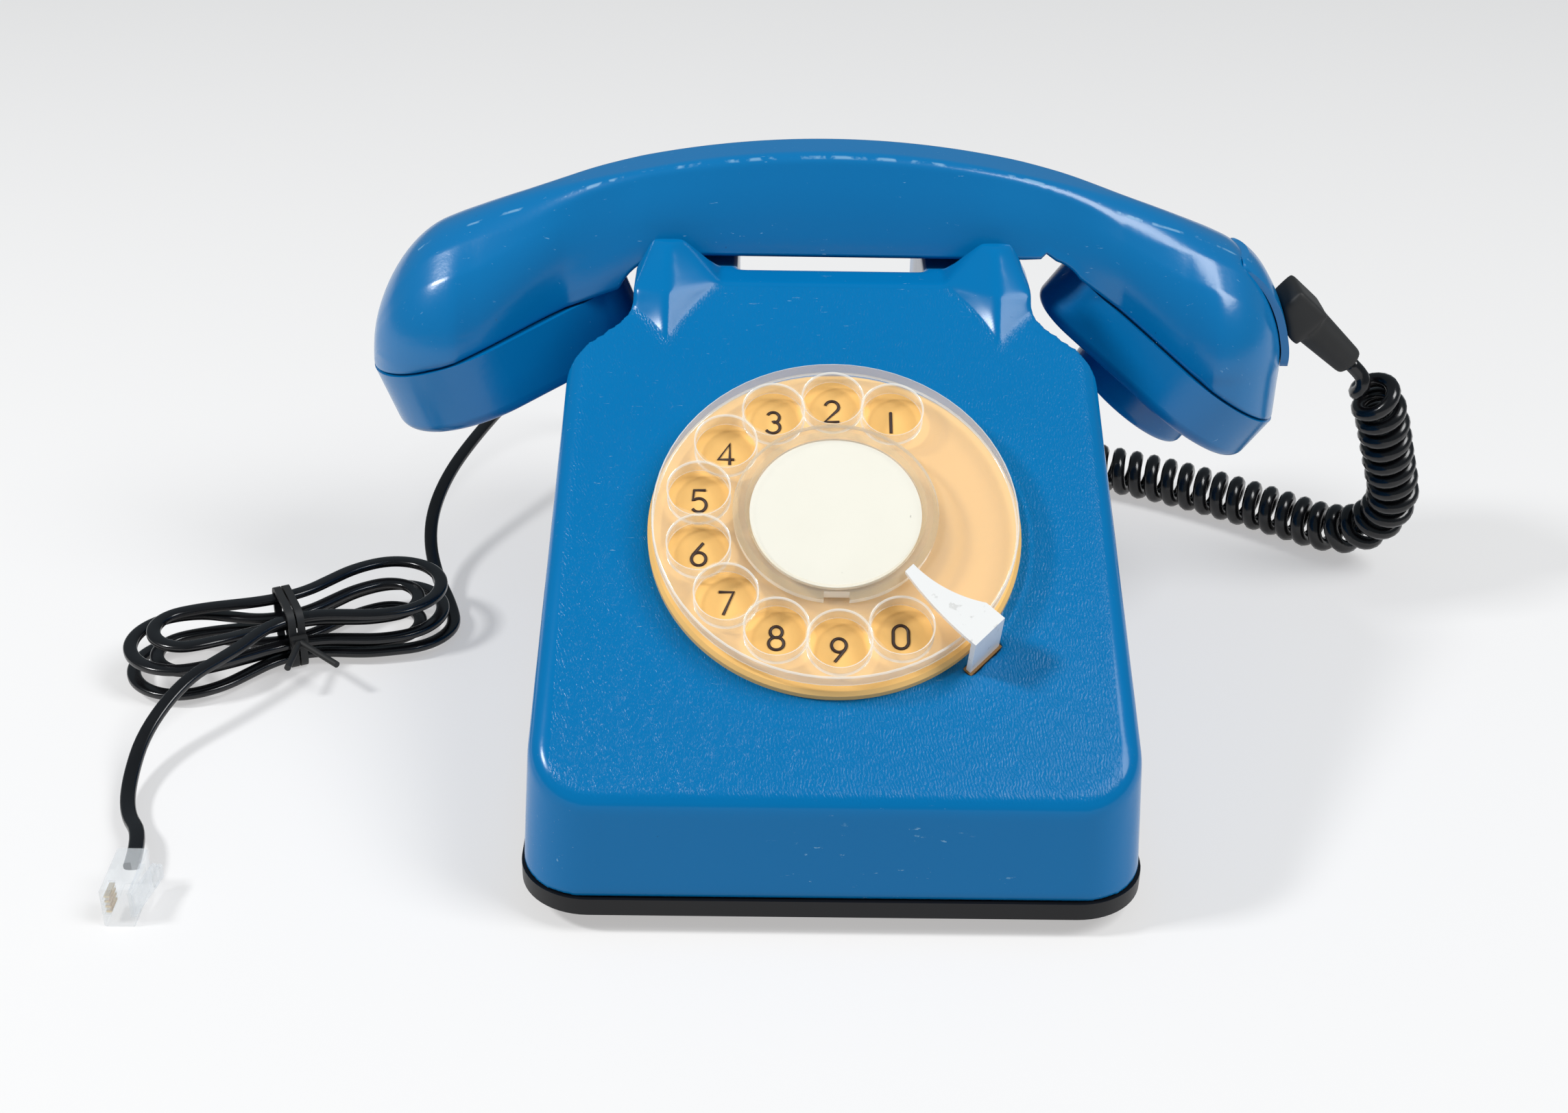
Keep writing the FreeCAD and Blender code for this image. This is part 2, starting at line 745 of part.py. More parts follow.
def make_dial_face():
    node("number_plate", in_dial(lathe("numbers", [
        ("spindle_radius + bush_wall + 2", "0"), ("plate_radius", "0"), ("plate_radius", "plate_thick - 0.8"),
        ("plate_radius - 0.8", "plate_thick"), ("spindle_radius + bush_wall + 2", "plate_thick"),
    ])))
    wheel = lathe("wheel", [
        ("spindle_radius + 2", WHEEL_LOW), ("wheel_radius - 0.8", WHEEL_LOW),
        ("wheel_radius", f"{WHEEL_LOW} + 0.8"), ("wheel_radius", f"{WHEEL_TOP} - 1.2"),
        ("wheel_radius - 1.4", WHEEL_TOP), ("spindle_radius + 2", WHEEL_TOP),
    ])
    doc.recompute()
    sketch = wheel.newObject("Sketcher::SketchObject", "finger_hole_sketch")
    sketch.AttachmentSupport = [(origin_plane(wheel, "XY_Plane"), "")]
    sketch.MapMode = "FlatFace"
    turn = math.radians(size("finger_first"))
    ring = size("finger_circle")
    middle = V(ring * math.cos(turn), ring * math.sin(turn), 0)
    sketch.addGeometry(Part.Circle(middle, V(0, 0, 1), size("finger_hole")), False)
    marks = (("DistanceX", (-1, 1, 0, 3), middle.x, "finger_circle * cos(finger_first)"),
             ("DistanceY", (-1, 1, 0, 3), middle.y, "finger_circle * sin(finger_first)"),
             ("Radius", (0,), size("finger_hole"), "finger_hole"))
    for kind, ends, number, words in marks:
        at = sketch.addConstraint(Sketcher.Constraint(kind, *ends, number))
        sketch.setExpression(f"Constraints[{at}]", bound(words))
    hole = wheel.newObject("PartDesign::Pocket", "finger_hole_cut")
    hole.Profile = sketch
    hole.Type = "ThroughAll"
    hole.Midplane = True
    doc.recompute()
    ring_of_holes = wheel.newObject("PartDesign::PolarPattern", "finger_holes")
    ring_of_holes.Originals = [hole]
    ring_of_holes.Axis = (sketch, ["N_Axis"])
    ring_of_holes.Occurrences = 10
    ring_of_holes.setExpression("Angle", bound("finger_step * 9"))
    wheel.Tip = ring_of_holes
    node("finger_wheel", in_dial(wheel))

    node("centre_card", in_dial(lathe("card", [
        ("0", WHEEL_TOP), ("card_radius", WHEEL_TOP), ("card_radius", f"{WHEEL_TOP} + card_thick"),
        ("0", f"{WHEEL_TOP} + card_thick"),
    ])))
    under = f"{WHEEL_TOP} + card_thick + 0.1"
    dome = lathe("dome", [
        ("0", under), ("card_radius + 0.3", under), ("card_radius + 0.3", WHEEL_TOP),
        ("cap_radius", WHEEL_TOP),
        ("cap_radius", f"{WHEEL_TOP} + cap_height - 1.2"), ("cap_radius - 1.2", f"{WHEEL_TOP} + cap_height"),
        ("card_radius + 1", f"{WHEEL_TOP} + cap_height"), ("card_radius", f"{WHEEL_TOP} + cap_height - 0.8"),
        ("0", f"{WHEEL_TOP} + cap_height - 0.8"),
    ])
    notch = box("pry_notch", "5.4", "3", "cap_height", "0", "-cap_radius", WHEEL_TOP)
    node("centre_cap", in_dial(carve("cap", dome, notch)))
    node("dial_spindle", in_dial(lathe("spindle", [
        ("0", "-bridge_depth + 2"), ("spindle_radius", "-bridge_depth + 2"),
        ("spindle_radius", "plate_thick + 0.3"),
        ("spindle_radius + 6", "plate_thick + 0.3"), ("spindle_radius + 6", WHEEL_LOW),
        ("spindle_radius + 1.95", WHEEL_LOW), ("spindle_radius + 1.95", WHEEL_TOP), ("0", WHEEL_TOP),
    ])))


def make_finger_stop():
    """A bent metal blade that stands over the wheel and folds down at its rim."""
    up = f"{WHEEL_TOP} + cap_height + 0.4"
    length = "stop_reach - stop_tip"
    blade = box("blade", length, "stop_width", "stop_thick", "(stop_reach + stop_tip) / 2", "0", up)
    curve = rod("blade_curve", "stop_reach * 0.62", "stop_thick * 3", "stop_tip + 3",
                "stop_reach * 0.62 + stop_width * 0.06", f"{up} - stop_thick")
    back = rod("blade_back", "stop_reach * 2", "stop_thick * 3", "stop_reach",
               "stop_reach * 2 - stop_width / 2", f"{up} - stop_thick")
    crescent = doc.addObject("Part::Common", "crescent")
    crescent.Base = blade
    crescent.Tool = back
    shaped_blade = carve("shaped_blade", crescent, curve)
    drop = f"{up} + casing_wall + chassis_thick * 2"
    leg = box("stop_leg", "stop_thick * 1.2", "stop_width", f"{drop} + stop_thick", "stop_reach", "0",
              "-casing_wall - chassis_thick * 2")
    toe = box("stop_toe", "stop_reach - chassis_radius + 4", "stop_width", "chassis_thick",
              "(stop_reach + chassis_radius - 4) / 2", "0", "-casing_wall - chassis_thick * 2")
    stop = join("stop", shaped_blade, leg, toe)
    holder = doc.addObject("Part::Compound", "stop_turned")
    holder.Links = [stop]
    stop.Placement = FreeCAD.Placement(V(0, 0, 0), FreeCAD.Rotation(V(0, 0, 1), size("stop_angle")))
    stop.setExpression("Placement.Rotation.Angle", bound("stop_angle"))
    node("finger_stop", in_dial(holder))


# The dial's movement

def gear_blank(name, module, teeth, thick, bore):
    """A spur gear: a round blank with straight-flanked teeth in a polar pattern."""
    count = int(round(value(teeth)))
    size_of_tooth = value(module)
    pitch = size_of_tooth * count / 2
    outer = pitch + 0.9 * size_of_tooth
    root = pitch - 1.15 * size_of_tooth
    points = []
    for i in range(count):
        middle = 2 * math.pi * i / count
        step = 2 * math.pi / count
        for radius, share in ((root, -0.36), (outer, -0.14), (outer, 0.14), (root, 0.36)):
            turn = middle + share * step
            points.append(V(radius * math.cos(turn), radius * math.sin(turn), 0))
    blank = Part.Face(Part.makePolygon(points + points[:1])).extrude(V(0, 0, value(thick)))
    return blank.cut(Part.makeCylinder(value(bore), value(thick) * 3, V(0, 0, -value(thick))))


def arbor_place():
    """Distance from the spindle to the second arbor, for two meshed gears."""
    return size("gear_module") * (size("main_teeth") + size("pinion_teeth")) / 2 + size("mesh_gap")


def governor_place():
    reach = size("fine_module") * (size("second_teeth") + size("governor_teeth")) / 2 + size("mesh_gap")
    turn = math.radians(size("governor_angle"))
    return V(-arbor_place() + reach * math.cos(turn), reach * math.sin(turn), 0)


def turned(shape, degrees):
    shape.rotate(V(0, 0, 0), V(0, 0, 1), degrees)
    return shape


def lifted(shape, place_at, up):
    shape.translate(V(place_at.x, place_at.y, up))
    return shape


def make_movement():
    wall = size("casing_wall")
    thick = size("chassis_thick")
    plate_low = -wall - thick
    deep = -size("bridge_depth")
    gap = size("shaft_gap")
    arbor = V(-arbor_place(), 0, 0)
    governor = governor_place()
    pin_radius = size("arbor_radius")
    gear_low = deep + 6.0
    fine_low = deep + 12.0
    gear_thick = size("gear_thick")

    plate = Part.makeCylinder(size("chassis_radius"), thick, V(0, 0, plate_low))
    lug = Part.makeCylinder(pin_radius + 3, thick, V(governor.x, governor.y, plate_low))
    bush_radius = size("spindle_radius") + size("bush_wall")
    bush_low = plate_low + thick - size("bush_length")
    bush = Part.makeCylinder(bush_radius, size("bush_length"), V(0, 0, bush_low))
    posts = []
    post_places = []
    for degrees in (60, 130, 300):
        turn = math.radians(degrees)
        post_places.append(V(27 * math.cos(turn), 27 * math.sin(turn), 0))
    for spot in post_places:
        reach = plate_low - deep - size("bridge_thick")
        foot = V(spot.x, spot.y, deep + size("bridge_thick"))
        posts.append(Part.makeCylinder(size("post_radius"), reach, foot))
    chassis = plate.fuse([lug, bush] + posts)
    bores = [Part.makeCylinder(size("spindle_radius") + gap, 80, V(0, 0, -60))]
    for spot in (arbor, governor):
        bores.append(Part.makeCylinder(pin_radius + gap, 20, V(spot.x, spot.y, plate_low - 1)))
    for bore in bores:
        chassis = chassis.cut(bore)
    node("dial_chassis", in_dial(shaped("chassis", chassis.removeSplitter())))

    bridge = Part.makeCylinder(7, size("bridge_thick"), V(0, 0, deep))
    hubs = [arbor, governor] + post_places
    for spot in hubs:
        bridge = bridge.fuse(Part.makeCylinder(5, size("bridge_thick"), V(spot.x, spot.y, deep)))
        arm = Part.makeBox(spot.Length, 7, size("bridge_thick"), V(0, -3.5, deep))
        bridge = bridge.fuse(turned(arm, math.degrees(math.atan2(spot.y, spot.x))))
    for spot in (arbor, governor):
        bridge = bridge.cut(Part.makeCylinder(pin_radius + gap, 20, V(spot.x, spot.y, deep - 5)))
    node("gear_bridge", in_dial(shaped("bridge", bridge.removeSplitter())))

    main = gear_blank("main", "gear_module", "main_teeth", "gear_thick", "spindle_radius")
    node("main_gear", in_dial(shaped("main_wheel", lifted(main, V(0, 0, 0), gear_low))))

    pinion = gear_blank("pinion", "gear_module", "pinion_teeth", "gear_thick", "arbor_radius")
    pinion = turned(pinion, 180.0 / size("pinion_teeth"))
    second = gear_blank("second", "fine_module", "second_teeth", "gear_thick", "arbor_radius")
    shaft = Part.makeCylinder(pin_radius, plate_low + thick - deep - 0.2, V(0, 0, deep + 0.1))
    pinion_solid = lifted(pinion, arbor, gear_low)
    second_solid = lifted(second, arbor, fine_low)
    node("second_pinion", in_dial(shaped("pinion_gear", pinion_solid)))
    node("second_gear", in_dial(shaped("fine_gear", second_solid)))
    lobes = Part.makeCylinder(3.2, gear_thick, V(0, 0, 0))
    for degrees in (0, 120, 240):
        lobe = Part.makeCylinder(1.4, gear_thick, V(3.2, 0, 0))
        lobes = lobes.fuse(turned(lobe, degrees))
    lobes = lobes.cut(Part.makeCylinder(pin_radius, 9, V(0, 0, -2))).removeSplitter()
    cam_low = fine_low + 5.0
    node("pulse_cam", in_dial(shaped("lobes", lifted(lobes, arbor, cam_low))))
    node("second_arbor", in_dial(shaped("arbor", lifted(shaft.copy(), arbor, 0))))

    turn_to_mesh = mesh_turn()
    worm = gear_blank("small", "fine_module", "governor_teeth", "gear_thick", "arbor_radius")
    worm = lifted(turned(worm, turn_to_mesh), governor, fine_low)
    node("governor_pinion", in_dial(shaped("small_pinion", worm)))
    node("governor_shaft", in_dial(shaped("thin_shaft", lifted(shaft.copy(), governor, 0))))
    cup_low = plate_low - size("cup_height")
    reach = size("cup_radius") - 2.6
    yoke = Part.makeBox(2 * (reach - 1.9), 5.0, 1.2, V(1.9 - reach, -2.5, 0))
    weights = [Part.makeCylinder(1.9, 4.0, V(side * (reach - 1.9), 0, 0)) for side in (-1, 1)]
    yoke = yoke.fuse(weights).cut(Part.makeCylinder(pin_radius, 20, V(0, 0, -5))).removeSplitter()
    node("governor_weights", in_dial(shaped("yoke", lifted(yoke, governor, cup_low + 2.0))))
    cup = Part.makeCylinder(size("cup_radius"), size("cup_height"))
    cup = cup.cut(Part.makeCylinder(size("cup_radius") - 1.2, size("cup_height"), V(0, 0, -0.001)))
    node("governor_cup", in_dial(shaped("cup", lifted(cup, governor, cup_low))))

    drum_low = plate_low - size("drum_height")
    drum = Part.makeCylinder(size("drum_radius"), size("drum_height"), V(0, 0, drum_low))
    drum = drum.cut(Part.makeCylinder(bush_radius, 80, V(0, 0, -60)))
    node("return_spring_drum", in_dial(shaped("drum", drum)))

    stack_y = 13.0
    stack_tall = 13.0
    stack = Part.makeBox(8, 6, stack_tall, V(arbor.x - 4, stack_y, plate_low - stack_tall))
    node("pulse_contact_block", in_dial(shaped("stack", stack)))
    blades = []
    for step in (0.0, 1.4):
        blades.append(Part.makeBox(0.5, stack_y - 5.6 - step, 5,
                                   V(arbor.x - 1 + 2.2 * step, 5.6 + step, fine_low + 4.5)))
    node("pulse_contacts", in_dial(shaped("contacts", Part.makeCompound(blades))))


def mesh_turn():
    """Turn of the governor's pinion that puts its gap on a tooth of the second gear."""
    pitch = 360.0 / size("second_teeth")
    small = size("governor_teeth")
    angle = size("governor_angle")
    offset = round(angle / pitch) * pitch - angle
    return angle - 180.0 - offset * size("second_teeth") / small + 180.0 / small


# The handset

def end_sizes(side):
    """Tilt, seam height, centres and depth of the ear end (-1) or the mouth end (1)."""
    name = "ear" if side < 0 else "mouth"
    tilt = math.radians(size(name + "_tilt"))
    big = size("handset_half") - size("end_half") * math.cos(tilt)
    small = big - size("end_spread") * math.cos(tilt)
    return tilt, size(name + "_seam"), big, small, size(name + "_depth")


def seam_height(side, along):
    """Height of the seam between shell and cap at a distance from the middle."""
    tilt, outer = end_sizes(side)[:2]
    return outer + (size("handset_half") - along) * math.tan(tilt)


def half_width(side, along):
    """Half the handset's width at the level of its seams."""
    big, small = end_sizes(side)[2:4]
    wide, narrow = size("end_half"), size("handle_half")
    if along >= big:
        part = (along - big) / (size("handset_half") - big)
        return wide * math.sqrt(max(1 - part * part, 0.0))
    if along <= small:
        return narrow
    part = (along - small) / (big - small)
    return narrow + (wide - narrow) * part * part * (3 - 2 * part) * 0.35 + (wide - narrow) * part * 0.65


def top_height(side, along):
    """The crowned back of the handset, rounded down at its ends."""
    crown = size("handset_top") - along * along / (2 * size("handset_crown"))
    start = end_sizes(side)[2] + 4
    part = max(along - start, 0.0) / (size("handset_half") - start)
    return crown - size("end_drop") * (1 - math.sqrt(max(1 - part * part, 0.0)))


def handset_ring(side, along, low):
    """One cross-section of the handset, with its eight corners rounded."""
    wide = half_width(side, along)
    top = top_height(side, along)
    end_part = min(max((along - 45) / 40, 0.0), 1.0)
    shrink = min(wide / size("handle_half"), 1.0)
    top_half = size("handle_top_half") * shrink
    level = size("handle_under") - 26 * end_part
    level = min(level, top - 8)
    share = 0.45
    bulge = (0.7 + 4.6 * end_part) * shrink
    shoulder = top_half + (wide - top_half) * share + bulge
    shoulder_up = top + (level - top) * share
    right = [(wide - 0.4 * shrink, low), (wide, level), (shoulder, shoulder_up), (top_half, top)]
    corners = right + [(-x, up) for x, up in reversed(right)]
    points = [V(0, x, up) for x, up in corners]
    count = len(points)
    reaches = []
    for i in range(count):
        shorter = min((points[i] - points[i - 1]).Length, (points[(i + 1) % count] - points[i]).Length)
        is_top = i in (3, 4)
        reaches.append((0.2 + 0.22 * end_part if is_top else 0.42) * shorter)
    wire = rounded_wire(points, reaches)
    wire.translate(world(side * along, size("handset_back"), 0))
    return wire


def seam_block(side, shift=0.0):
    """All that lies below one end's seam, as a large block."""
    reach = size("end_spread") + size("end_small") + 2
    block = Part.makeBox(60 + reach, 160, 90, V(-60, -80, shift - 90))
    block.Placement = seam_placement(side).multiply(block.Placement)
    return block


def egg(side, trim=0.0):
    """A cap's outline in its seam plane: two circles and the lines that touch both."""
    wide, narrow = size("end_half") - trim, size("end_small") - trim
    spread = size("end_spread")
    lean = math.asin((wide - narrow) / spread)
    points = []
    for sign in (1, -1):
        for radius, at in ((wide, 0.0), (narrow, spread)):
            points.append(V(at + radius * math.sin(lean), sign * radius * math.cos(lean), 0))
    big_top, small_top, big_low, small_low = points
    edges = [
        Part.LineSegment(big_top, small_top).toShape(),
        Part.Arc(small_top, V(spread + narrow, 0, 0), small_low).toShape(),
        Part.LineSegment(small_low, big_low).toShape(),
        Part.Arc(big_low, V(-wide, 0, 0), big_top).toShape(),
    ]
    return Part.Wire(edges)


def seam_placement(side):
    """Puts a shape made on the seam plane, inward along X, at its end of the handset."""
    tilt, _, big, _, _ = end_sizes(side)
    turn = FreeCAD.Rotation(V(0, 0, 1), 0 if side < 0 else 180)
    lean = FreeCAD.Rotation(V(0, 1, 0), math.degrees(tilt) * side)
    spot = world(side * big, size("handset_back"), seam_height(side, big))
    return FreeCAD.Placement(spot, lean.multiply(turn))


def arch_cut():
    """The hollow under the handle, with its own arch at each end."""
    under = size("handle_under")
    low = 20.0
    wide = 200.0
    ear_far = -size("ear_inner") - size("ear_arch_reach")
    mouth_far = size("mouth_inner") + size("mouth_arch_reach")
    corners = [(ear_far, low), (ear_far, under), (mouth_far, under), (mouth_far, low)]
    points = [world(x, size("handset_back") - wide / 2, up) for x, up in corners]
    return prism(round_by_radius(points, [1, size("ear_arch"), size("mouth_arch"), 1]), V(0, wide, 0))


def make_handset():
    low = 40.0
    rings = []
    stations = [0.0, 0.5, 0.8, 0.95, 0.995]
    for side in (-1, 1):
        tilt, _, big, small, _ = end_sizes(side)
        nose = size("handset_half") - big
        places = [big + nose * part for part in reversed(stations)]
        places += [small + (big - small) * 0.5, small, small * 0.7, small * 0.36]
        half = [handset_ring(side, along, low) for along in places]
        if side < 0:
            rings += half + [handset_ring(side, 0.0, low)]
        else:
            rings += list(reversed(half))
    body = Part.makeLoft(rings, True, False)
    body = body.cut(arch_cut())
    for side in (-1, 1):
        body = body.cut(seam_block(side, size("seam_gap") / 2))
    gap = size("seam_gap") / 2
    for side in (-1, 1):
        well = Part.makeCylinder(size("capsule_radius") + 0.6, size("capsule_thick") + 2, V(0, 0, -3))
        well.Placement = seam_placement(side)
        body = body.cut(well)
    node("handset_shell", shaped("shell", body))

    for side, label in ((-1, "ear_cap"), (1, "mouth_cap")):
        depth = end_sizes(side)[4]
        face = Part.Face(egg(side))
        cap = face.extrude(V(0, 0, -depth))
        rim = [edge for edge in cap.Edges if abs(edge.CenterOfMass.z + depth) < 1e-6]
        cap = cap.makeFillet(3.0, rim)
        if side > 0:
            ring_low = -depth - size("mouth_ring")
            ring = Part.makeCylinder(size("mouth_ring_radius"), size("mouth_ring") + 3, V(6, 0, ring_low))
            edge = [e for e in ring.Edges if abs(e.CenterOfMass.z - ring_low) < 1e-6]
            cap = cap.fuse(ring.makeFillet(2.0, edge)).removeSplitter()
        floor = depth - size("cap_wall") + (size("mouth_ring") if side > 0 else 0)
        room = depth - size("cap_wall")
        inner = Part.makeCylinder(size("capsule_radius") + 0.6, room, V(0, 0, -room))
        cap = cap.cut(inner)
        middle = V(6 if side > 0 else 0, 0, -depth - 20)
        if side > 0:
            throat_radius = size("mouth_ring_radius") - size("cap_wall") - 1
            throat = Part.makeCylinder(throat_radius, floor, V(6, 0, -floor))
            cap = cap.cut(throat)
        for radius, count in ((0.0, 1), (5.0, 6), (10.0, 12)):
            for i in range(count):
                turn = 2 * math.pi * i / count
                spot = middle + V(radius * math.cos(turn), radius * math.sin(turn), 0)
                cap = cap.cut(Part.makeCylinder(size("sound_hole"), 40, spot))
        cap.translate(V(0, 0, -gap))
        thing = shaped(label + "_form", cap)
        thing.Placement = seam_placement(side)
        node(label, thing)

    for side, label in ((-1, "receiver_capsule"), (1, "transmitter_capsule")):
        radius, thick = size("capsule_radius"), size("capsule_thick")
        can = Part.makeCylinder(radius, thick * 0.55, V(0, 0, -3))
        crown = Part.makeCone(radius - 1.5, radius * 0.55, thick * 0.45, V(0, 0, -3 + thick * 0.55))
        lip = Part.makeCylinder(radius + 0.5, 1.2, V(0, 0, -3))
        capsule = can.fuse([crown, lip]).removeSplitter()
        thing = shaped(label + "_form", capsule)
        thing.Placement = seam_placement(side)
        node(label, thing)


# The hook: two clear plungers, the lever under them and its switch

def make_hook():
    low = "handle_under - 0.3 - plunger_length"
    for side, label in ((-1, "hook_plunger_left"), (1, "hook_plunger_right")):
        stem = box(label + "_stem", "plunger_side", "plunger_side", "plunger_length",
                   f"{side} * plunger_place", front("handset_back"), low)
        foot = box(label + "_foot", "plunger_side + 1.6", "plunger_side + 5", "3",
                   f"{side} * plunger_place", front("handset_back"), low)
        node(label, join(label + "_form", stem, foot))

    bar_top = "handle_under - 0.5 - plunger_length"
    reach = "lever_back - handset_back"
    bar = box("lever_bar", "2 * plunger_place + plunger_side", "6", "lever_thick", "0", front("handset_back"),
              f"{bar_top} - lever_thick")
    arms = []
    for side in (-1, 1):
        arms.append(box(f"lever_arm_{side + 1}", "3", f"{reach} + 3", "lever_thick", f"{side} * 8",
                        front("(lever_back + handset_back) / 2 + 1.5"), f"{bar_top} - lever_thick"))
        arms.append(rod(f"lever_eye_{side + 1}", "lever_pin + 2", "3", f"{side} * 8 - 1.5",
                        front("lever_back"),
                        f"{bar_top} - lever_thick / 2", "x"))
    pin_height = f"{bar_top} - lever_thick / 2"
    pin_way = rod("lever_way", "lever_pin", "40", "-20", front("lever_back"), pin_height, "x")
    node("hook_lever", carve("lever", join("lever_form", bar, *arms), pin_way))
    pin = rod("pin", "lever_pin - shaft_gap", "19", "-9.5", front("lever_back"), pin_height, "x")
    node("lever_pivot_pin", group("pivot", pin))

    rise = f"{bar_top} - lever_thick / 2 + lever_pin + 2 - ({FLOOR})"
    post = box("post", "10", "7", rise, "0", front("lever_back"), FLOOR)
    sole = box("post_sole", "26", "10", "2", "0", front("lever_back"), FLOOR)
    shelf = box("post_shelf", "5", "7", "10", "7.5", front("lever_back"), "42")
    bore = rod("post_bore", "lever_pin - shaft_gap", "40", "-20", front("lever_back"),
               f"{bar_top} - lever_thick / 2", "x")
    node("hook_bracket", carve("bracket", join("bracket_form", post, sole, shelf), bore))
    block = box("switch_block", "7", "7", "10", "13.5", front("lever_back"), "42")
    node("hook_switch_block", group("switch_body", block))
    blades = []
    for number, x in enumerate((11.5, 13.5, 15.5)):
        blade_back = front("lever_back - 13.5")
        blades.append(box(f"switch_blade_{number}", "0.6", "20", "4", f"{x}", blade_back, "45"))
    node("hook_switch_blades", group("blades", *blades))


# The ringer

def make_ringer():
    sole = box("ringer_sole", "44", "40", "1.5", "0", front("pivot_back - 17"), FLOOR)
    yokes = []
    for number, back in enumerate(("pivot_back - 29", "pivot_back - 3")):
        yokes.append(box(f"ringer_yoke_{number}", "42", "2", "22", "0", front(back), FLOOR))
    ear = box("ringer_ear", "8", "6", "2", "0", front("pivot_back + 1"), f"{FLOOR} + 20")
    way = rod("ringer_way", "1 + shaft_gap", "12", "0", front("pivot_back + 1"), f"{FLOOR} + 15")
    node("ringer_frame", carve("frame", join("frame_form", sole, *yokes, ear), way))
    coils = []
    for side in (-1, 1):
        coils.append(rod(f"winding_{side + 1}", "coil_radius", "coil_length", f"{side} * coil_place",
                         front("pivot_back - 28"), f"{FLOOR} + 12", "y"))
    node("ringer_coils", group("windings", *coils))

    strike = f"{FLOOR} + 24"
    bar = box("armature", "36", "2", "6", "0", front("pivot_back + 1"), f"{FLOOR} + 9")
    stem = rod("clapper_pin", "1", "12", "0", front("pivot_back + 1"), f"{FLOOR} + 12")
    rise = box("clapper_rise", "2.4", "2", "4", "0", front("pivot_back + 1"), f"{FLOOR} + 22.3")
    arm = box("clapper_arm", "1.6", "gong_back - pivot_back", "1.6", "0",
              front("(gong_back + pivot_back) / 2 + 1"),
              f"{strike} - 0.8")
    ball = doc.addObject("Part::Sphere", "clapper_ball")
    bind(ball, Radius="clapper_radius")
    place(ball, "0", front("gong_back"), strike)
    node("clapper", join("clapper_form", bar, stem, rise, arm, ball))

    for side, label in ((-1, "gong_left"), (1, "gong_right")):
        across = f"{side} * (gong_radius + clapper_radius + clapper_gap)"
        bowl = lathe(label + "_bowl", [
            ("2", "gong_height - gong_wall"), ("gong_radius * 0.4", "gong_height - gong_wall"),
            ("gong_radius * 0.72", "gong_height - gong_wall - 2"),
            ("gong_radius * 0.92", "gong_height * 0.42"),
            ("gong_radius - gong_wall", "0"), ("gong_radius", "0"),
            ("gong_radius * 0.98", "gong_height * 0.48"), ("gong_radius * 0.76", "gong_height - 1.6"),
            ("gong_radius * 0.4", "gong_height"), ("2", "gong_height"),
        ])
        node(label, place(bowl, across, front("gong_back"), "gong_rise"))
    posts = []
    for side in (-1, 1):
        across = f"{side} * (gong_radius + clapper_radius + clapper_gap)"
        post = lathe(f"gong_post_{side + 1}", [
            ("0", FLOOR), ("6", FLOOR), ("6", f"{FLOOR} + 2"), ("3.5", f"{FLOOR} + 2"),
            ("3.5", "gong_rise + gong_height - gong_wall"), ("1.95", "gong_rise + gong_height - gong_wall"),
            ("1.95", "gong_rise + gong_height + 2.5"), ("0", "gong_rise + gong_height + 2.5"),
        ])
        posts.append(place(post, across, front("gong_back")))
    node("gong_posts", group("gong_pillars", *posts))


# The circuit on the floor

def make_circuit():
    level = f"{FLOOR} + standoff_height"
    board = box("board", "board_length", "board_width", "board_thick", "0", front("board_back"), level)
    node("circuit_board", group("board_form", board))
    top = f"{level} + board_thick"
    core = box("induction_core", "18", "14", "10", "-20", front("board_back"), top)
    winding = box("induction_winding", "11", "18", "9", "-20", front("board_back"), top)
    node("induction_coil", join("induction_form", core, winding))
    can = rod("can", "5", "24", "4", front("board_back"), f"{top} + 5", "x")
    seat = box("can_seat", "18", "7", "5", "16", front("board_back"), top)
    node("capacitor", join("capacitor_form", can, seat))
    block = box("terminals", "30", "8", "9", "0", front("base_depth - 10.5"), FLOOR)
    screws = []
    for number in range(5):
        screws.append(rod(f"terminal_screw_{number}", "1.8", "1", f"{(number - 2) * 5.6}",
                          front("base_depth - 10.5"), f"{FLOOR} + 9"))
    node("terminal_block", group("terminal_body", block))
    node("terminal_screws", group("terminal_heads", *screws))


# The cord exits

def relief_direction():
    drop = math.radians(size("relief_drop"))
    return V(math.cos(drop), 0.0, -math.sin(drop))


RELIEF_ROOT = world(size("handset_half") + 0.7, size("handset_back"), size("mouth_seam") + 28.5)
RELIEF_TIP = RELIEF_ROOT + relief_direction() * size("relief_length")


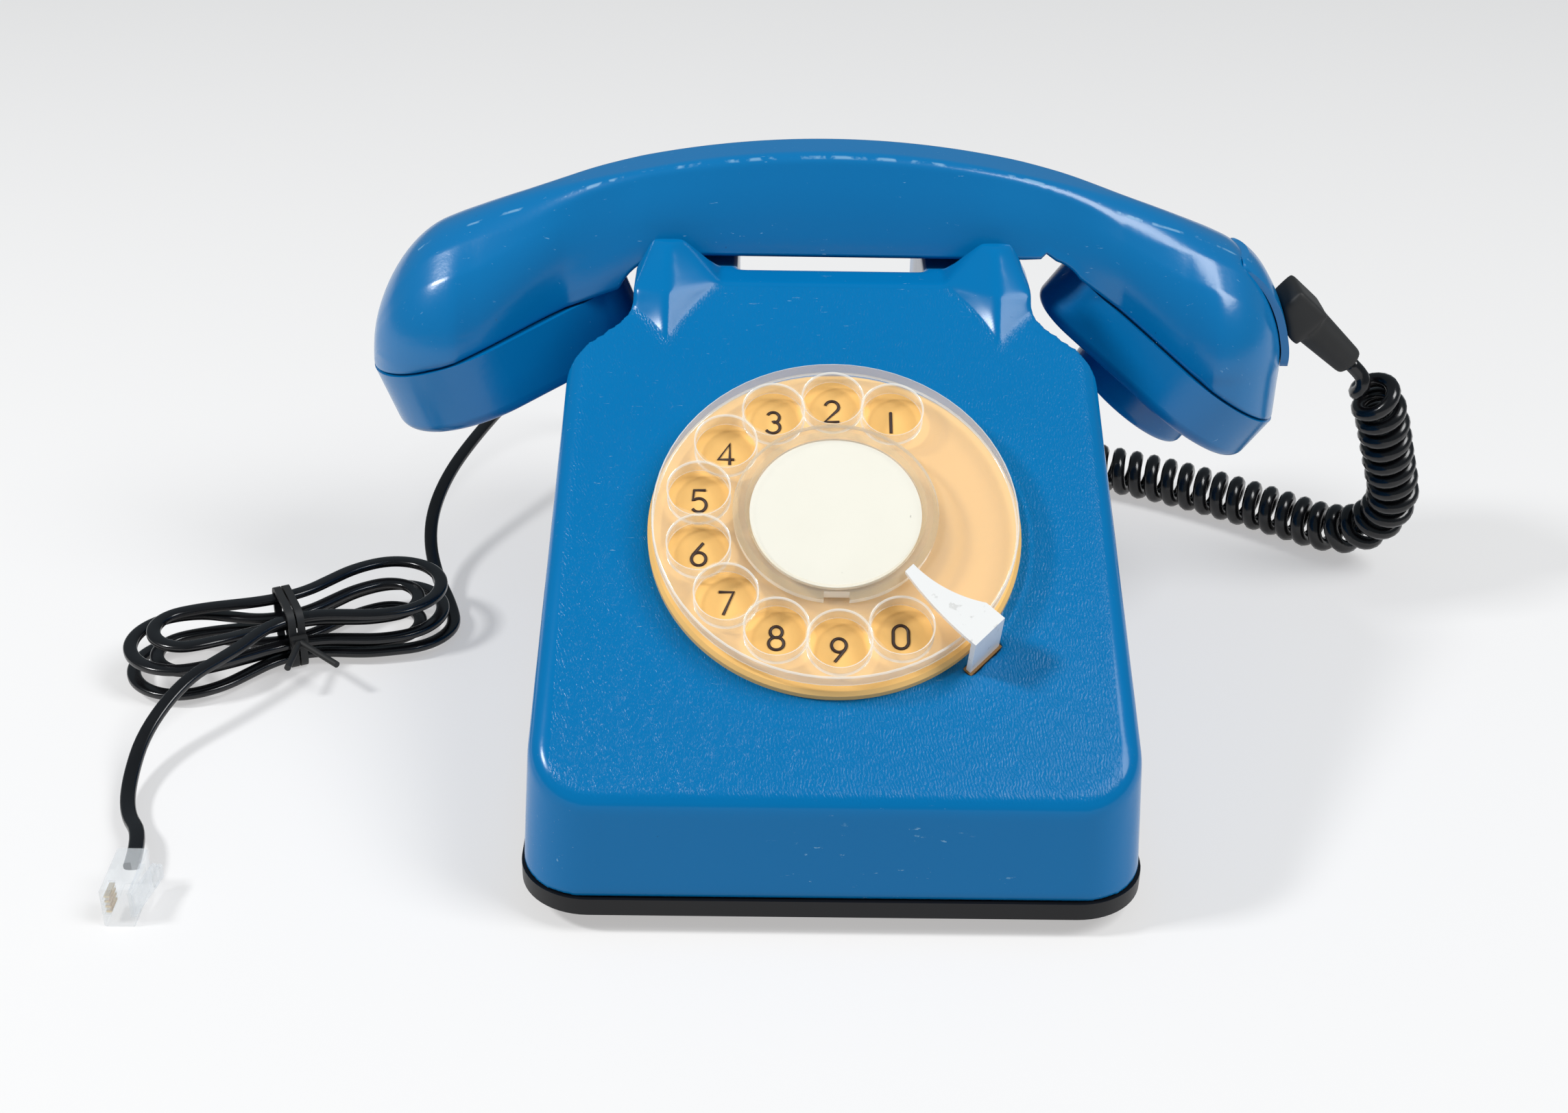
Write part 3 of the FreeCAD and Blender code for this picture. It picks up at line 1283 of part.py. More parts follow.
def make_exits():
    for side, label in ((-1, "line_cord_gland"), (1, "handset_cord_gland")):
        grip, flange = size("gland_radius"), size("gland_flange")
        wall_back = 2 * HALF_DEPTH - 1.4
        long = size("gland_length")
        sleeve = Part.makeCylinder(grip, 7.0, V(0, 0, -2.4))
        collar = Part.makeCylinder(flange, 1.5, V(0, 0, 3.6))
        inner = Part.makeCylinder(flange, 1.5, V(0, 0, -2.4))
        cone = Part.makeCone(grip, grip * 0.72, long - 4.4, V(0, 0, 4.4))
        gland = sleeve.fuse([collar, inner, cone]).removeSplitter()
        for groove in (6.8, 9.2, 11.6):
            core = Part.makeCylinder(grip * 0.62, 0.9, V(0, 0, groove))
            gland = gland.cut(Part.makeCylinder(flange, 0.9, V(0, 0, groove)).cut(core))
        thing = shaped(label + "_form", gland)
        spot = world(side * size("gland_place"), wall_back - 2.7, size("gland_height"))
        thing.Placement = FreeCAD.Placement(spot, FreeCAD.Rotation(V(1, 0, 0), -90))
        node(label, thing)

    shell = next(thing for thing in NODES if thing.Label == "handset_shell").Shape
    tall, wide = size("collar_height"), size("collar_width")
    pad = Part.makeBox(20, wide, tall, RELIEF_ROOT + V(-14, -wide / 2, -tall / 2))
    pad = pad.makeFillet(3.0, [e for e in pad.Edges if abs(e.tangentAt(e.FirstParameter).x) > 0.9])
    skin = shell.copy()
    skin.translate(V(size("collar_thick"), 0, 0))
    pieces = pad.common(skin).cut(shell).Solids
    collar = max(pieces, key=lambda piece: piece.CenterOfMass.x)
    node("cord_collar", shaped("collar", collar))

    long = size("relief_length")
    block_end = 8.0
    sunk = 2.5
    block = Part.makeBox(10.5, 13, block_end + sunk, V(-5.25, -6.5, -sunk))
    cone = Part.makeCone(size("relief_radius"), size("relief_tip"), long - block_end, V(0, 0, block_end))
    relief = block.fuse(cone)
    relief.Placement = FreeCAD.Placement(RELIEF_ROOT, FreeCAD.Rotation(V(0, 1, 0), 90 + size("relief_drop")))
    pieces = relief.cut(shell).cut(collar).Solids
    node("strain_relief", shaped("relief", max(pieces, key=lambda piece: piece.CenterOfMass.x)))


# The cords

CURL_END = world(74.0, 205.0, 7.0)
CURL_ROUTE = [
    RELIEF_TIP,
    RELIEF_TIP + relief_direction() * 11.0,
    world(147.5, 147.5, 38.5),
    world(153.5, 153.0, 22.5),
    world(146.0, 162.0, 7.0),
    world(123.0, 180.0, 7.0),
    world(98.0, 195.5, 7.0),
    CURL_END,
    world(61.0, 212.5, 7.0),
    world(50.5, 219.5, 9.5),
    world(40.0, 219.0, 14.5),
    world(32.0, 211.3, 19.5),
    world(32.0, 198.9, 19.5),
]

LEAD_ROUTE = [
    world(-32.0, 198.9, 19.5),
    world(-32.0, 210.5, 19.5),
    world(-37.0, 222.0, 20.5),
    world(-49.0, 229.5, 23.0),
    world(-64.0, 229.0, 25.5),
    world(-78.0, 219.5, 26.5),
    world(-88.0, 203.0, 25.8),
    world(-95.4, 184.0, 23.2),
    world(-101.0, 169.8, 19.4),
    world(-104.0, 157.5, 14.6),
    world(-103.8, 147.0, 9.8),
    world(-100.5, 136.5, 5.4),
    world(-96.0, 127.0, 3.2),
    world(-93.2, 116.5, 2.6),
]

TAIL_ROUTE = [
    world(-157.5, 61.0, 8.0),
    world(-158.2, 47.5, 3.6),
    world(-155.5, 35.0, 3.2),
    world(-149.6, 25.5, 4.8),
    world(-149.0, 14.7, 4.8),
]

HANK_MIDDLE = world(-133.0, 107.0, 0.0)
HANK_LOW = 3.1


def frames_along(path, count):
    """Even samples of a path: place, heading and a sideways pair that never twists."""
    points = path.discretize(Number=count)
    heads = []
    for i in range(count):
        heads.append((points[min(i + 1, count - 1)] - points[max(i - 1, 0)]).normalize())
    side = heads[0].cross(V(0, 0, 1)).normalize()
    frames = []
    for point, head in zip(points, heads):
        side = (side - head * side.dot(head)).normalize()
        frames.append((point, head, side, head.cross(side)))
    return frames


def ease(part):
    part = min(max(part, 0.0), 1.0)
    return part * part * (3 - 2 * part)


def curl_stations():
    """Half-turn stations of the curls about the route, then the plain end."""
    wire, radius, pitch = size("curl_wire"), size("curl_radius"), size("curl_pitch")
    route = free_path(CURL_ROUTE, "handset_cord axis")
    count = 4001
    frames = frames_along(route, count)
    step = route.Length / (count - 1)
    head = wire + 0.4
    last = min(range(count), key=lambda i: frames[i][0].distanceToPoint(CURL_END))
    first = int(head / step)
    phase = [0.0]
    ramp = int(2.4 * pitch / step)
    window = 20
    for i in range(1, count):
        if i <= first or i > last:
            phase.append(phase[-1])
            continue
        a, b = max(i - window, 0), min(i + window, count - 1)
        bend = frames[a][1].getAngle(frames[b][1]) / ((b - a) * step)
        local = max(pitch, (wire + 0.55) / max(1 - radius * bend, 0.3))
        local += 8 * pitch * (1 - ease(min(i - first, last - i) / ramp))
        phase.append(phase[-1] + 2 * math.pi * step / local)
    turns = round(phase[last] / math.pi) / 2
    scale = turns * 2 * math.pi / phase[last]
    phase = [angle * scale for angle in phase]

    def spot(i):
        point, _, side, other = frames[i]
        swell = radius * ease((i - first) / ramp) * ease((last - i) / ramp)
        return point + side * (swell * math.cos(phase[i])) + other * (swell * math.sin(phase[i]))

    def heading(i):
        return (spot(min(i + 3, count - 1)) - spot(max(i - 3, 0))).normalize()

    stations = [(frames[0][0], frames[0][1]), (frames[first][0], frames[first][1])]
    target = math.pi / 4
    for i in range(first, last):
        if phase[i] >= target - 1e-9:
            stations.append((spot(i), heading(i)))
            near_end = phase[i] < 3 or phase[i] > phase[last] - 6.5
            target += math.pi / 4 if near_end else math.pi
    rest = count - 1 - last
    for part in range(0, 13):
        i = last + int(rest * part / 12)
        stations.append((frames[i][0], frames[i][1]))
    print("handset_cord turns", turns)
    return stations


def hank_point(across, along, up):
    turn = math.radians(size("hank_turn"))
    x = across * math.cos(turn) - along * math.sin(turn)
    y = across * math.sin(turn) + along * math.cos(turn)
    return HANK_MIDDLE + V(x, y, up)


def hank_heading(across, along, up=0.0):
    return (hank_point(across, along, up) - HANK_MIDDLE).normalize()


HANK_START = (20.0, -12.5)
HANK_END = (-19.0, -16.0)


def hank_stations():
    """Four loops laid across each other, each climb along the lower left run."""
    layer = size("hank_layer")
    forms = {}
    for name in ("outer", "inner"):
        end, half, waist = (size(f"hank_{name}_{part}") for part in ("end", "half", "waist"))
        forms[name] = (end, half, waist)
    stations = [(hank_point(*HANK_START, HANK_LOW), hank_heading(-1, 0.2))]

    def level(number):
        return HANK_LOW + layer * number

    def left_half(name, start, end_level):
        end, half, waist = forms[name]
        shoulder = end - half
        stations.append((hank_point(0, -waist, level(start)), hank_heading(-1, 0)))
        stations.append((hank_point(-shoulder, -half, level(end_level)), hank_heading(-1, 0)))
        stations.append((hank_point(-end, 0, level(end_level)), hank_heading(0, 1)))
        stations.append((hank_point(-shoulder, half, level(end_level)), hank_heading(1, 0)))

    def right_half(name, number):
        end, half, waist = forms[name]
        shoulder = end - half
        stations.append((hank_point(0, waist, level(number)), hank_heading(1, 0)))
        stations.append((hank_point(shoulder, half, level(number)), hank_heading(1, 0)))
        stations.append((hank_point(end, 0, level(number)), hank_heading(0, -1)))
        stations.append((hank_point(shoulder, -half, level(number)), hank_heading(-1, 0)))

    left_half("outer", 0, 0)
    right_half("inner", 0)
    left_half("inner", 0, 1)
    right_half("outer", 1)
    left_half("outer", 1, 2)
    right_half("inner", 2)
    left_half("inner", 2, 3)
    right_half("outer", 3)
    stations.append((hank_point(0, -forms["outer"][2], level(3)), hank_heading(-1, 0)))
    stations.append((hank_point(*HANK_END, level(3)), hank_heading(-0.85, -0.5)))
    return stations


def make_cords():
    wire = size("curl_wire")
    stations = curl_stations()
    path = biarc_path(stations)
    bent_least(path, "handset_cord")
    least_gap(path, wire, "handset_cord", 2.0)
    node("handset_cord", shaped("curls", tube(path, wire / 2, "handset_cord")))

    wire = size("line_wire")
    start = hank_point(*HANK_START, HANK_LOW)
    into = hank_heading(-1, 0.2)
    lead = free_path(LEAD_ROUTE + [start - into * 11.0, start], "line_cord_lead")
    node("line_cord_lead", shaped("lead", tube(lead, wire / 2, "line_cord_lead")))
    path = biarc_path(hank_stations())
    bent_least(path, "line_cord_hank")
    least_gap(path, wire, "line_cord_hank", 1.0)
    node("line_cord_hank", shaped("hank", tube(path, wire / 2, "line_cord_hank")))
    end = hank_point(*HANK_END, HANK_LOW + 3 * size("hank_layer"))
    away = hank_heading(-0.85, -0.5)
    tail = free_path([end, end + away * 13.0] + TAIL_ROUTE, "line_cord_tail")
    node("line_cord_tail", shaped("tail", tube(tail, wire / 2, "line_cord_tail")))


def make_tie():
    """Two wraps of covered wire round the waist, twisted off at the front."""
    wire = size("line_wire")
    room = wire / 2 + 0.35
    half = size("hank_outer_waist") + room
    low = HANK_LOW - room
    high = HANK_LOW + 3 * size("hank_layer") + room
    corner = room + 0.2
    thick, wide = size("tie_thick"), size("tie_width")
    rings = []
    for across in (-wide / 2, 0.2):
        loops = []
        for grow in (thick, 0.0):
            side, under, over = half + grow, low - grow, high + grow
            corners = [(-side, under), (side, under), (side, over), (-side, over)]
            points = [V(across, y, up) for y, up in corners]
            loops.append(prism(round_by_radius(points, [corner + grow] * 4), V(wide / 2 - 0.2, 0, 0)))
        rings.append(loops[0].cut(loops[1]))
    knot = Part.makeBox(wide, 2.4, 2.4, V(-wide / 2, -half - thick - 2.0, 8.0))
    ends = []
    for reach, lean in ((12.0, -28.0), (15.0, 22.0)):
        strand = Part.makeCylinder(0.8, reach, V(0, 0, 0), V(0, -1, 0))
        strand.rotate(V(0, 0, 0), V(0, 0, 1), lean)
        strand.translate(V(0, -half - thick - 1.2, 9.2))
        ends.append(strand)
    tie = rings[0].fuse([rings[1], knot] + ends).removeSplitter()
    thing = shaped("tie", tie)
    thing.Placement = FreeCAD.Placement(HANK_MIDDLE, FreeCAD.Rotation(V(0, 0, 1), size("hank_turn")))
    node("twist_tie", thing)


# The clear plug at the line cord's end

PLUG_ENTRY = world(-149.0, 14.7, 4.8)


def make_plug():
    tall, deep, long = size("plug_width"), size("plug_height"), size("plug_length")
    left = -2.5
    body = Part.makeBox(deep, long, tall, V(left, -long, 0))
    body = body.makeFillet(0.6, [e for e in body.Edges if abs(e.tangentAt(e.FirstParameter).y) > 0.9])
    slots = []
    blades = []
    pitch = 1.3
    for number in range(4):
        up = tall / 2 + (number - 1.5) * pitch
        slots.append(Part.makeBox(3.0, 5.5, 0.8, V(left - 1.5, -long + 0.8, up - 0.4)))
        blades.append(Part.makeBox(1.1, 4.5, 0.4, V(left + 0.4, -long + 1.3, up - 0.2)))
    body = body.cut(Part.makeCompound(slots))
    recess = Part.makeBox(1.2, long - 4, 6.2, V(left + deep - 1.2, -long + 1.0, tall / 2 - 3.1))
    body = body.cut(recess)
    spot = FreeCAD.Placement(V(PLUG_ENTRY.x, PLUG_ENTRY.y, 0), FreeCAD.Rotation())
    for label, shape in (("plug_body", body), ("plug_contacts", Part.makeCompound(blades))):
        thing = shaped(label + "_form", shape)
        thing.Placement = spot
        node(label, thing)
    half_thick = 0.5
    root = V(left + deep - 0.75 + half_thick, -long + 1.7, tall / 2 - 2.6)
    arm = Part.makeBox(2 * half_thick, long - 3.7, 5.2, V(-half_thick, 0, 0))
    heel = Part.makeCylinder(half_thick, 5.2)
    step = Part.makeBox(1.0, 4.0, 3.2, V(0.1, long - 6.5, 1.0))
    latch = arm.fuse([heel, step]).removeSplitter()
    latch.rotate(V(0, 0, 0), V(0, 0, 1), -11)
    latch.translate(root)
    thing = shaped("latch", latch)
    thing.Placement = spot
    node("plug_latch", thing)


make_base()
make_casing()
make_dial_face()
make_finger_stop()
make_movement()
make_handset()
make_hook()
make_ringer()
make_circuit()
make_exits()
make_cords()
make_tie()
make_plug()


def write_parts():
    doc.recompute()
    os.makedirs("parts", exist_ok=True)
    for thing in doc.Objects:
        if "Invalid" in thing.State or "Error" in thing.State:
            raise RuntimeError(f"{thing.Name} failed: {thing.State}")
    for thing in NODES:
        shape = thing.Shape
        if shape.isNull() or not shape.isValid():
            raise RuntimeError(f"{thing.Label} has no valid shape")
    for thing in NODES:
        thing.Shape.exportStep(f"parts/{thing.Label}.step")
        room = thing.Shape.BoundBox
        print(thing.Label, len(thing.Shape.Solids), "solids", round(thing.Shape.Volume), "mm3",
              [round(v, 1) for v in (room.XMin, room.XMax, room.YMin, room.YMax, room.ZMin, room.ZMax)])


write_parts()
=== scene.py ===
# %% [markdown]
# # A blue rotary telephone
#
# This lesson dresses the packed CAD frame of a desk telephone. The frame holds every
# piece in its place, in metres: X runs along the handset, Y from the dial to the rear,
# and Z up from the table. Modelling it all again in Blender would risk a second,
# different telephone. So the CAD pieces stay, and only those whose real surface is
# softer or finer than the CAD's get a piece of their own.

import json
import math

import bpy
import mathutils
import numpy as np
from mathutils import Matrix, Vector


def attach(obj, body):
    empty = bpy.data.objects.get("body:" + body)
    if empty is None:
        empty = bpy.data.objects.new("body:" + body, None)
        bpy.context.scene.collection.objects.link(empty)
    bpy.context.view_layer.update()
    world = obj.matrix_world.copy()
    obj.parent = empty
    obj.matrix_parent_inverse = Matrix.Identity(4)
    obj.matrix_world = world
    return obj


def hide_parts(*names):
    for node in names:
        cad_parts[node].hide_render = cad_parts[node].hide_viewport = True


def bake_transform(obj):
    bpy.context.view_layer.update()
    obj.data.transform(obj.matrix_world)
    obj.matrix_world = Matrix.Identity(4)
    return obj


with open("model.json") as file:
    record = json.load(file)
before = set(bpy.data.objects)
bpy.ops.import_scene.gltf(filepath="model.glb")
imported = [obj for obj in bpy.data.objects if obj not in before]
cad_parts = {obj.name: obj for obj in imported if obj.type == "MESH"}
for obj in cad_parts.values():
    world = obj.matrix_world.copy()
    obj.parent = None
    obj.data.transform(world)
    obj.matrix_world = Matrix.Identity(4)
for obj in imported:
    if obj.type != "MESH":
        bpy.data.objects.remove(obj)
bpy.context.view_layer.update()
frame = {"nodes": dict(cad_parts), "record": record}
NODES = frame["nodes"]
MM = 0.001
DEPTH = 188.0
print("frame:", len(NODES), "CAD nodes")


# %% [markdown]
# ## The photograph's camera
#
# The picture was taken from in front and above. A camera can be turned by eye until it
# looks right, but then nothing can be measured against the photograph. So this one was
# fitted to the base's edges and the dial's circle. Its focal length, its three angles
# and its place are all that is kept here.

# %% Set the camera
FOCAL_PX = 3112.16
PHOTO_WIDTH = 2287
SENSOR_WIDTH = 36.0
YAW = 0.0135735
PITCH = 0.519068
ROLL = 0.0193598
CAMERA_AT = (-16.272, -347.388 - DEPTH / 2, 289.701)


def camera_turn():
    """The camera's axes, as the columns of a rotation."""
    ahead = Vector((math.sin(YAW) * math.cos(PITCH), math.cos(YAW) * math.cos(PITCH), -math.sin(PITCH)))
    flat_right = Vector((math.cos(YAW), -math.sin(YAW), 0.0))
    flat_up = flat_right.cross(ahead)
    right = flat_right * math.cos(ROLL) + flat_up * math.sin(ROLL)
    up = flat_up * math.cos(ROLL) - flat_right * math.sin(ROLL)
    return Matrix((right, up, -ahead)).transposed()


lens = bpy.data.cameras.new("photo_camera")
lens.sensor_width = SENSOR_WIDTH
lens.lens = FOCAL_PX / PHOTO_WIDTH * SENSOR_WIDTH
lens.clip_start = 0.01
camera = bpy.data.objects.new("photo_camera", lens)
bpy.context.scene.collection.objects.link(camera)
camera.matrix_world = Matrix.Translation(Vector(CAMERA_AT) * MM) @ camera_turn().to_4x4()
bpy.context.scene.camera = camera
print("camera: lens", round(lens.lens, 2), "mm")


# %% [markdown]
# ## Places and meshes
#
# Sizes were measured in millimetres, back from the base's front edge. `here` turns such
# a place into the frame's metres, and `mesh_piece` makes a smooth mesh from points and
# faces. Operators can add meshes too, but they work on whatever is selected, and
# building from data gives the same result every time.

# %% Helpers for places and meshes
def here(x, back, up):
    """A place in millimetres, measured back from the base's front edge, in metres."""
    return Vector((x, back - DEPTH / 2, up)) * MM


def link(thing):
    """Put an object in the scene."""
    bpy.context.scene.collection.objects.link(thing)
    return thing


def mesh_piece(name, points, faces, smooth=True):
    """An object made from points and faces."""
    data = bpy.data.meshes.new(name)
    data.from_pydata([tuple(p) for p in points], [], faces)
    data.update()
    data.polygons.foreach_set("use_smooth", [smooth] * len(data.polygons))
    return link(bpy.data.objects.new(name, data))


print("front edge of the base: y", round(here(0, 0, 0).y, 3), "m")


# %% [markdown]
# ## The hank's stations
#
# The line cord is tied up in a hank of wide and narrow loops that lies at the left. It
# could be drawn as one long curve, but its layers would then easily cut into each
# other. So each half loop has four stations, each with a place, a heading and a layer,
# and the layers are stacked a set height apart.

# %% Lay out the hank
LEAD_ROUTE = [
    (-32.0, 198.9, 19.5), (-32.0, 210.5, 19.5), (-37.0, 222.0, 20.5), (-49.0, 229.5, 23.0),
    (-64.0, 229.0, 25.5), (-78.0, 219.5, 26.5), (-88.0, 203.0, 25.8), (-95.4, 184.0, 23.2),
    (-101.0, 169.8, 19.4), (-104.0, 157.5, 14.6), (-103.8, 147.0, 9.8), (-100.5, 136.5, 5.4),
    (-96.0, 127.0, 3.2), (-93.2, 116.5, 2.6),
]
TAIL_ROUTE = [
    (-157.5, 61.0, 8.0), (-158.2, 47.5, 3.6), (-155.5, 35.0, 3.2), (-149.6, 25.5, 4.8), (-149.0, 14.7, 4.8),
]
HANK_MIDDLE = Vector((-133.0, 107.0, 0.0))
HANK_TURN = math.radians(25)
HANK_LOW = 3.1
HANK_LAYER = 3.5
HANK_FORMS = {"outer": (39.0, 13.0, 5.4), "inner": (33.0, 8.5, 1.8)}
HANK_START = (20.0, -12.5)
HANK_END = (-19.0, -16.0)


def hank_spot(across, along, level):
    """A place in the hank, from its own middle, turn and layer."""
    x = across * math.cos(HANK_TURN) - along * math.sin(HANK_TURN)
    y = across * math.sin(HANK_TURN) + along * math.cos(HANK_TURN)
    return HANK_MIDDLE + Vector((x, y, HANK_LOW + HANK_LAYER * level))


def hank_way(across, along):
    """A heading in the hank."""
    turned = Matrix.Rotation(HANK_TURN, 3, "Z") @ Vector((across, along, 0.0))
    return turned.normalized()


def half_loop(name, side, start, level):
    """Stations from the waist round one end; side is -1 for the left end."""
    end, half, waist = HANK_FORMS[name]
    shoulder = end - half
    return [
        (hank_spot(0, side * waist, start), hank_way(side, 0)),
        (hank_spot(side * shoulder, side * half, level), hank_way(side, 0)),
        (hank_spot(side * end, 0, level), hank_way(0, -side)),
        (hank_spot(side * shoulder, -side * half, level), hank_way(-side, 0)),
    ]


def hank_stations():
    """Every station in order, from the lead to the tail."""
    laid = [("outer", -1, 0, 0), ("inner", 1, 0, 0), ("inner", -1, 0, 1), ("outer", 1, 1, 1),
            ("outer", -1, 1, 2), ("inner", 1, 2, 2), ("inner", -1, 2, 3), ("outer", 1, 3, 3)]
    stations = [(hank_spot(*HANK_START, 0), hank_way(-1, 0.2))]
    for loop in laid:
        stations += half_loop(*loop)
    stations.append((hank_spot(0, -HANK_FORMS["outer"][2], 3), hank_way(-1, 0)))
    stations.append((hank_spot(*HANK_END, 3), hank_way(-0.85, -0.5)))
    return stations


print("hank:", len(hank_stations()), "stations")


# %% [markdown]
# ## Arcs between the stations
#
# A real cord bends evenly and has no corners. Straight lines between the stations would
# show kinks, and free handles would have to be set one by one. Two arcs that meet
# smoothly fit any pair of places and headings, and need no setting by hand.

# %% Join the stations with arcs
def arc_points(start, corner, end, count):
    """Points along the arc that leaves start towards corner and arrives at end."""
    bend = (corner - start).normalized().dot((end - start).normalized())
    points = []
    for i in range(count):
        t = i / count
        top = start * (1 - t) ** 2 + corner * (2 * t * (1 - t) * bend) + end * t * t
        points.append(top / ((1 - t) ** 2 + 2 * t * (1 - t) * bend + t * t))
    return points


def biarc_points(start, leave, end, arrive, count):
    """Two arcs that leave start and arrive at end in the given directions."""
    chord = end - start
    spread = 2 * (1 - leave.dot(arrive))
    along = chord.dot(leave + arrive)
    if spread < 1e-9:
        reach = chord.dot(chord) / (2 * along)
    else:
        reach = (-along + math.sqrt(along * along + spread * chord.dot(chord))) / spread
    first = start + leave * reach
    second = end - arrive * reach
    joint = (first + second) / 2
    return arc_points(start, first, joint, count) + arc_points(joint, second, end, count)


LEAD_IN = 11.0
TAIL_OUT = 13.0


def line_points():
    """Control points of the whole cord, in millimetres."""
    stations = hank_stations()
    points = [Vector(p) for p in LEAD_ROUTE]
    points.append(stations[0][0] - stations[0][1] * LEAD_IN)
    for (start, leave), (end, arrive) in zip(stations, stations[1:]):
        points += biarc_points(start, leave, end, arrive, 2)
    points.append(stations[-1][0])
    points.append(stations[-1][0] + stations[-1][1] * TAIL_OUT)
    return points + [Vector(p) for p in TAIL_ROUTE]


print("line cord:", len(line_points()), "control points")


# %% [markdown]
# ## The run of the line cord
#
# The cord runs from the rear gland through the hank to the plug. Its curve could be
# pulled into place in the viewport, but then neither its run nor its length would be
# known. A NURBS curve of low order keeps close to its control points and stays smooth,
# and its evaluated line gives the length.

# %% Run the line cord
def nurbs(name, points):
    """A smooth open curve; its radius of a millimetre scales the section that follows it."""
    data = bpy.data.curves.new(name, "CURVE")
    data.dimensions = "3D"
    line = data.splines.new("NURBS")
    line.points.add(len(points) - 1)
    for spot, point in zip(line.points, points):
        spot.co = (*here(*point), 1.0)
        spot.radius = MM
    line.order_u = 3
    line.use_endpoint_u = True
    data.resolution_u = 6
    return link(bpy.data.objects.new(name, data))


def curve_line(thing):
    """The curve's own line, as points in the frame."""
    depsgraph = bpy.context.evaluated_depsgraph_get()
    data = bpy.data.meshes.new_from_object(thing.evaluated_get(depsgraph))
    points = [Vector(v.co) for v in data.vertices]
    bpy.data.meshes.remove(data)
    return points


def length_of(points):
    """The length of a line of points."""
    return sum((b - a).length for a, b in zip(points, points[1:]))


line_cord = nurbs("line_cord", line_points())
line_length = length_of(curve_line(line_cord))
print("line cord:", round(line_length, 3), "m")


# %% [markdown]
# ## The line cord's section
#
# The cord is black and flat. A mesh of rings would do, but a curve with a section is
# shorter to write, and its Z-Up twist keeps the flat section level. Every point of the
# curve has a radius of one millimetre, which scales the section, so the section's own
# numbers are millimetres.

# %% Give the line cord its section
CORD_WIDTH = 3.4
CORD_THICK = 2.0


def flat_profile(name, width, thick):
    """A rounded flat section for the line cord, in millimetres."""
    data = bpy.data.curves.new(name, "CURVE")
    ring = data.splines.new("POLY")
    count = 20
    ring.points.add(count - 1)
    for i, spot in enumerate(ring.points):
        turn = 2 * math.pi * i / count
        x = abs(math.cos(turn)) ** 0.6 * math.copysign(width / 2, math.cos(turn))
        y = abs(math.sin(turn)) ** 0.6 * math.copysign(thick / 2, math.sin(turn))
        spot.co = (x, y, 0, 1)
    ring.use_cyclic_u = True
    thing = link(bpy.data.objects.new(name, data))
    thing.hide_render = True
    thing.hide_viewport = True
    return thing


line_cord.data.twist_mode = "Z_UP"
line_cord.data.bevel_mode = "OBJECT"
line_cord.data.bevel_object = flat_profile("flat_section", CORD_WIDTH, CORD_THICK)
line_cord.data.use_fill_caps = True
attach(line_cord, "base")
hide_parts("line_cord_lead", "line_cord_hank", "line_cord_tail")
here(-32.0, 198.9, 19.5)
print("section:", CORD_WIDTH, "by", CORD_THICK, "mm")


# %% [markdown]
# ## The route of the handset's cord
#
# The handset's cord leaves the mouth end, drops to the table and trails round to the
# rear. Its route could be a chain of arcs like the hank's, but it hangs loosely and has
# no exact form. So a smooth curve is led along a few points and cut into even steps, and
# its bends are eased.

# %% Lead the handset's cord
RELIEF_DROP = math.radians(41.6)
RELIEF_WAY = Vector((math.cos(RELIEF_DROP), 0.0, -math.sin(RELIEF_DROP)))
RELIEF_ROOT = Vector((113.2, 140.5, 85.0))
RELIEF_LENGTH = 24.0
RELIEF_TIP = RELIEF_ROOT + RELIEF_WAY * RELIEF_LENGTH
STRAIGHT_OUT = 11.0
CURL_ROUTE = [
    RELIEF_TIP, RELIEF_TIP + RELIEF_WAY * STRAIGHT_OUT,
    (147.5, 147.5, 38.5), (153.5, 153.0, 22.5), (146.0, 162.0, 7.0), (123.0, 180.0, 7.0),
    (98.0, 195.5, 7.0), (74.0, 205.0, 7.0), (61.0, 212.5, 7.0), (50.5, 219.5, 9.5),
    (40.0, 219.0, 14.5), (32.0, 211.3, 19.5), (32.0, 198.9, 19.5),
]
CURL_LAST = Vector(CURL_ROUTE[7])
CURL_STEP = 0.1
ROUTE_PASSES = 40


def even_points(points, step):
    """The same line with its points a set distance apart, as an array in metres."""
    line = np.array([list(p) for p in points])
    runs = np.linalg.norm(np.diff(line, axis=0), axis=1)
    along = np.concatenate([[0.0], np.cumsum(runs)])
    count = int(along[-1] / step) + 1
    marks = np.linspace(0.0, along[-1], count)
    return np.stack([np.interp(marks, along, line[:, k]) for k in range(3)], axis=1)


def eased_route():
    """The route as closely spaced points, in millimetres."""
    route = nurbs("curl_route", CURL_ROUTE)
    line = even_points(curve_line(route), CURL_STEP * MM) / MM
    bpy.data.objects.remove(route)
    for _ in range(ROUTE_PASSES):
        line[1:-1] = (line[:-2] + line[2:] + 2 * line[1:-1]) / 4
    return line


curl_route = eased_route()
print("route:", round(len(curl_route) * CURL_STEP), "mm")


# %% [markdown]
# ## The winding of the handset's cord
#
# The cord is a tight coil. A straight coil bent along a curve would squeeze its turns
# together on the inside of each bend. So the wire is wound step by step about the route,
# wider apart where the route bends, and the coil narrows to plain wire at both ends.

# %% Wind the wire
CURL_WIRE = 3.8
CURL_RADIUS = 4.9
CURL_PITCH = 5.0
PLAIN_START = CURL_WIRE + 0.4
LEAST_PITCH = CURL_WIRE + 0.3
RAMP_TURNS = 1.6
RAMP_OPENS = 4
RING_STEP = 1.3


def ease(part):
    """A smooth step from 0 to 1."""
    part = min(max(part, 0.0), 1.0)
    return part * part * (3 - 2 * part)


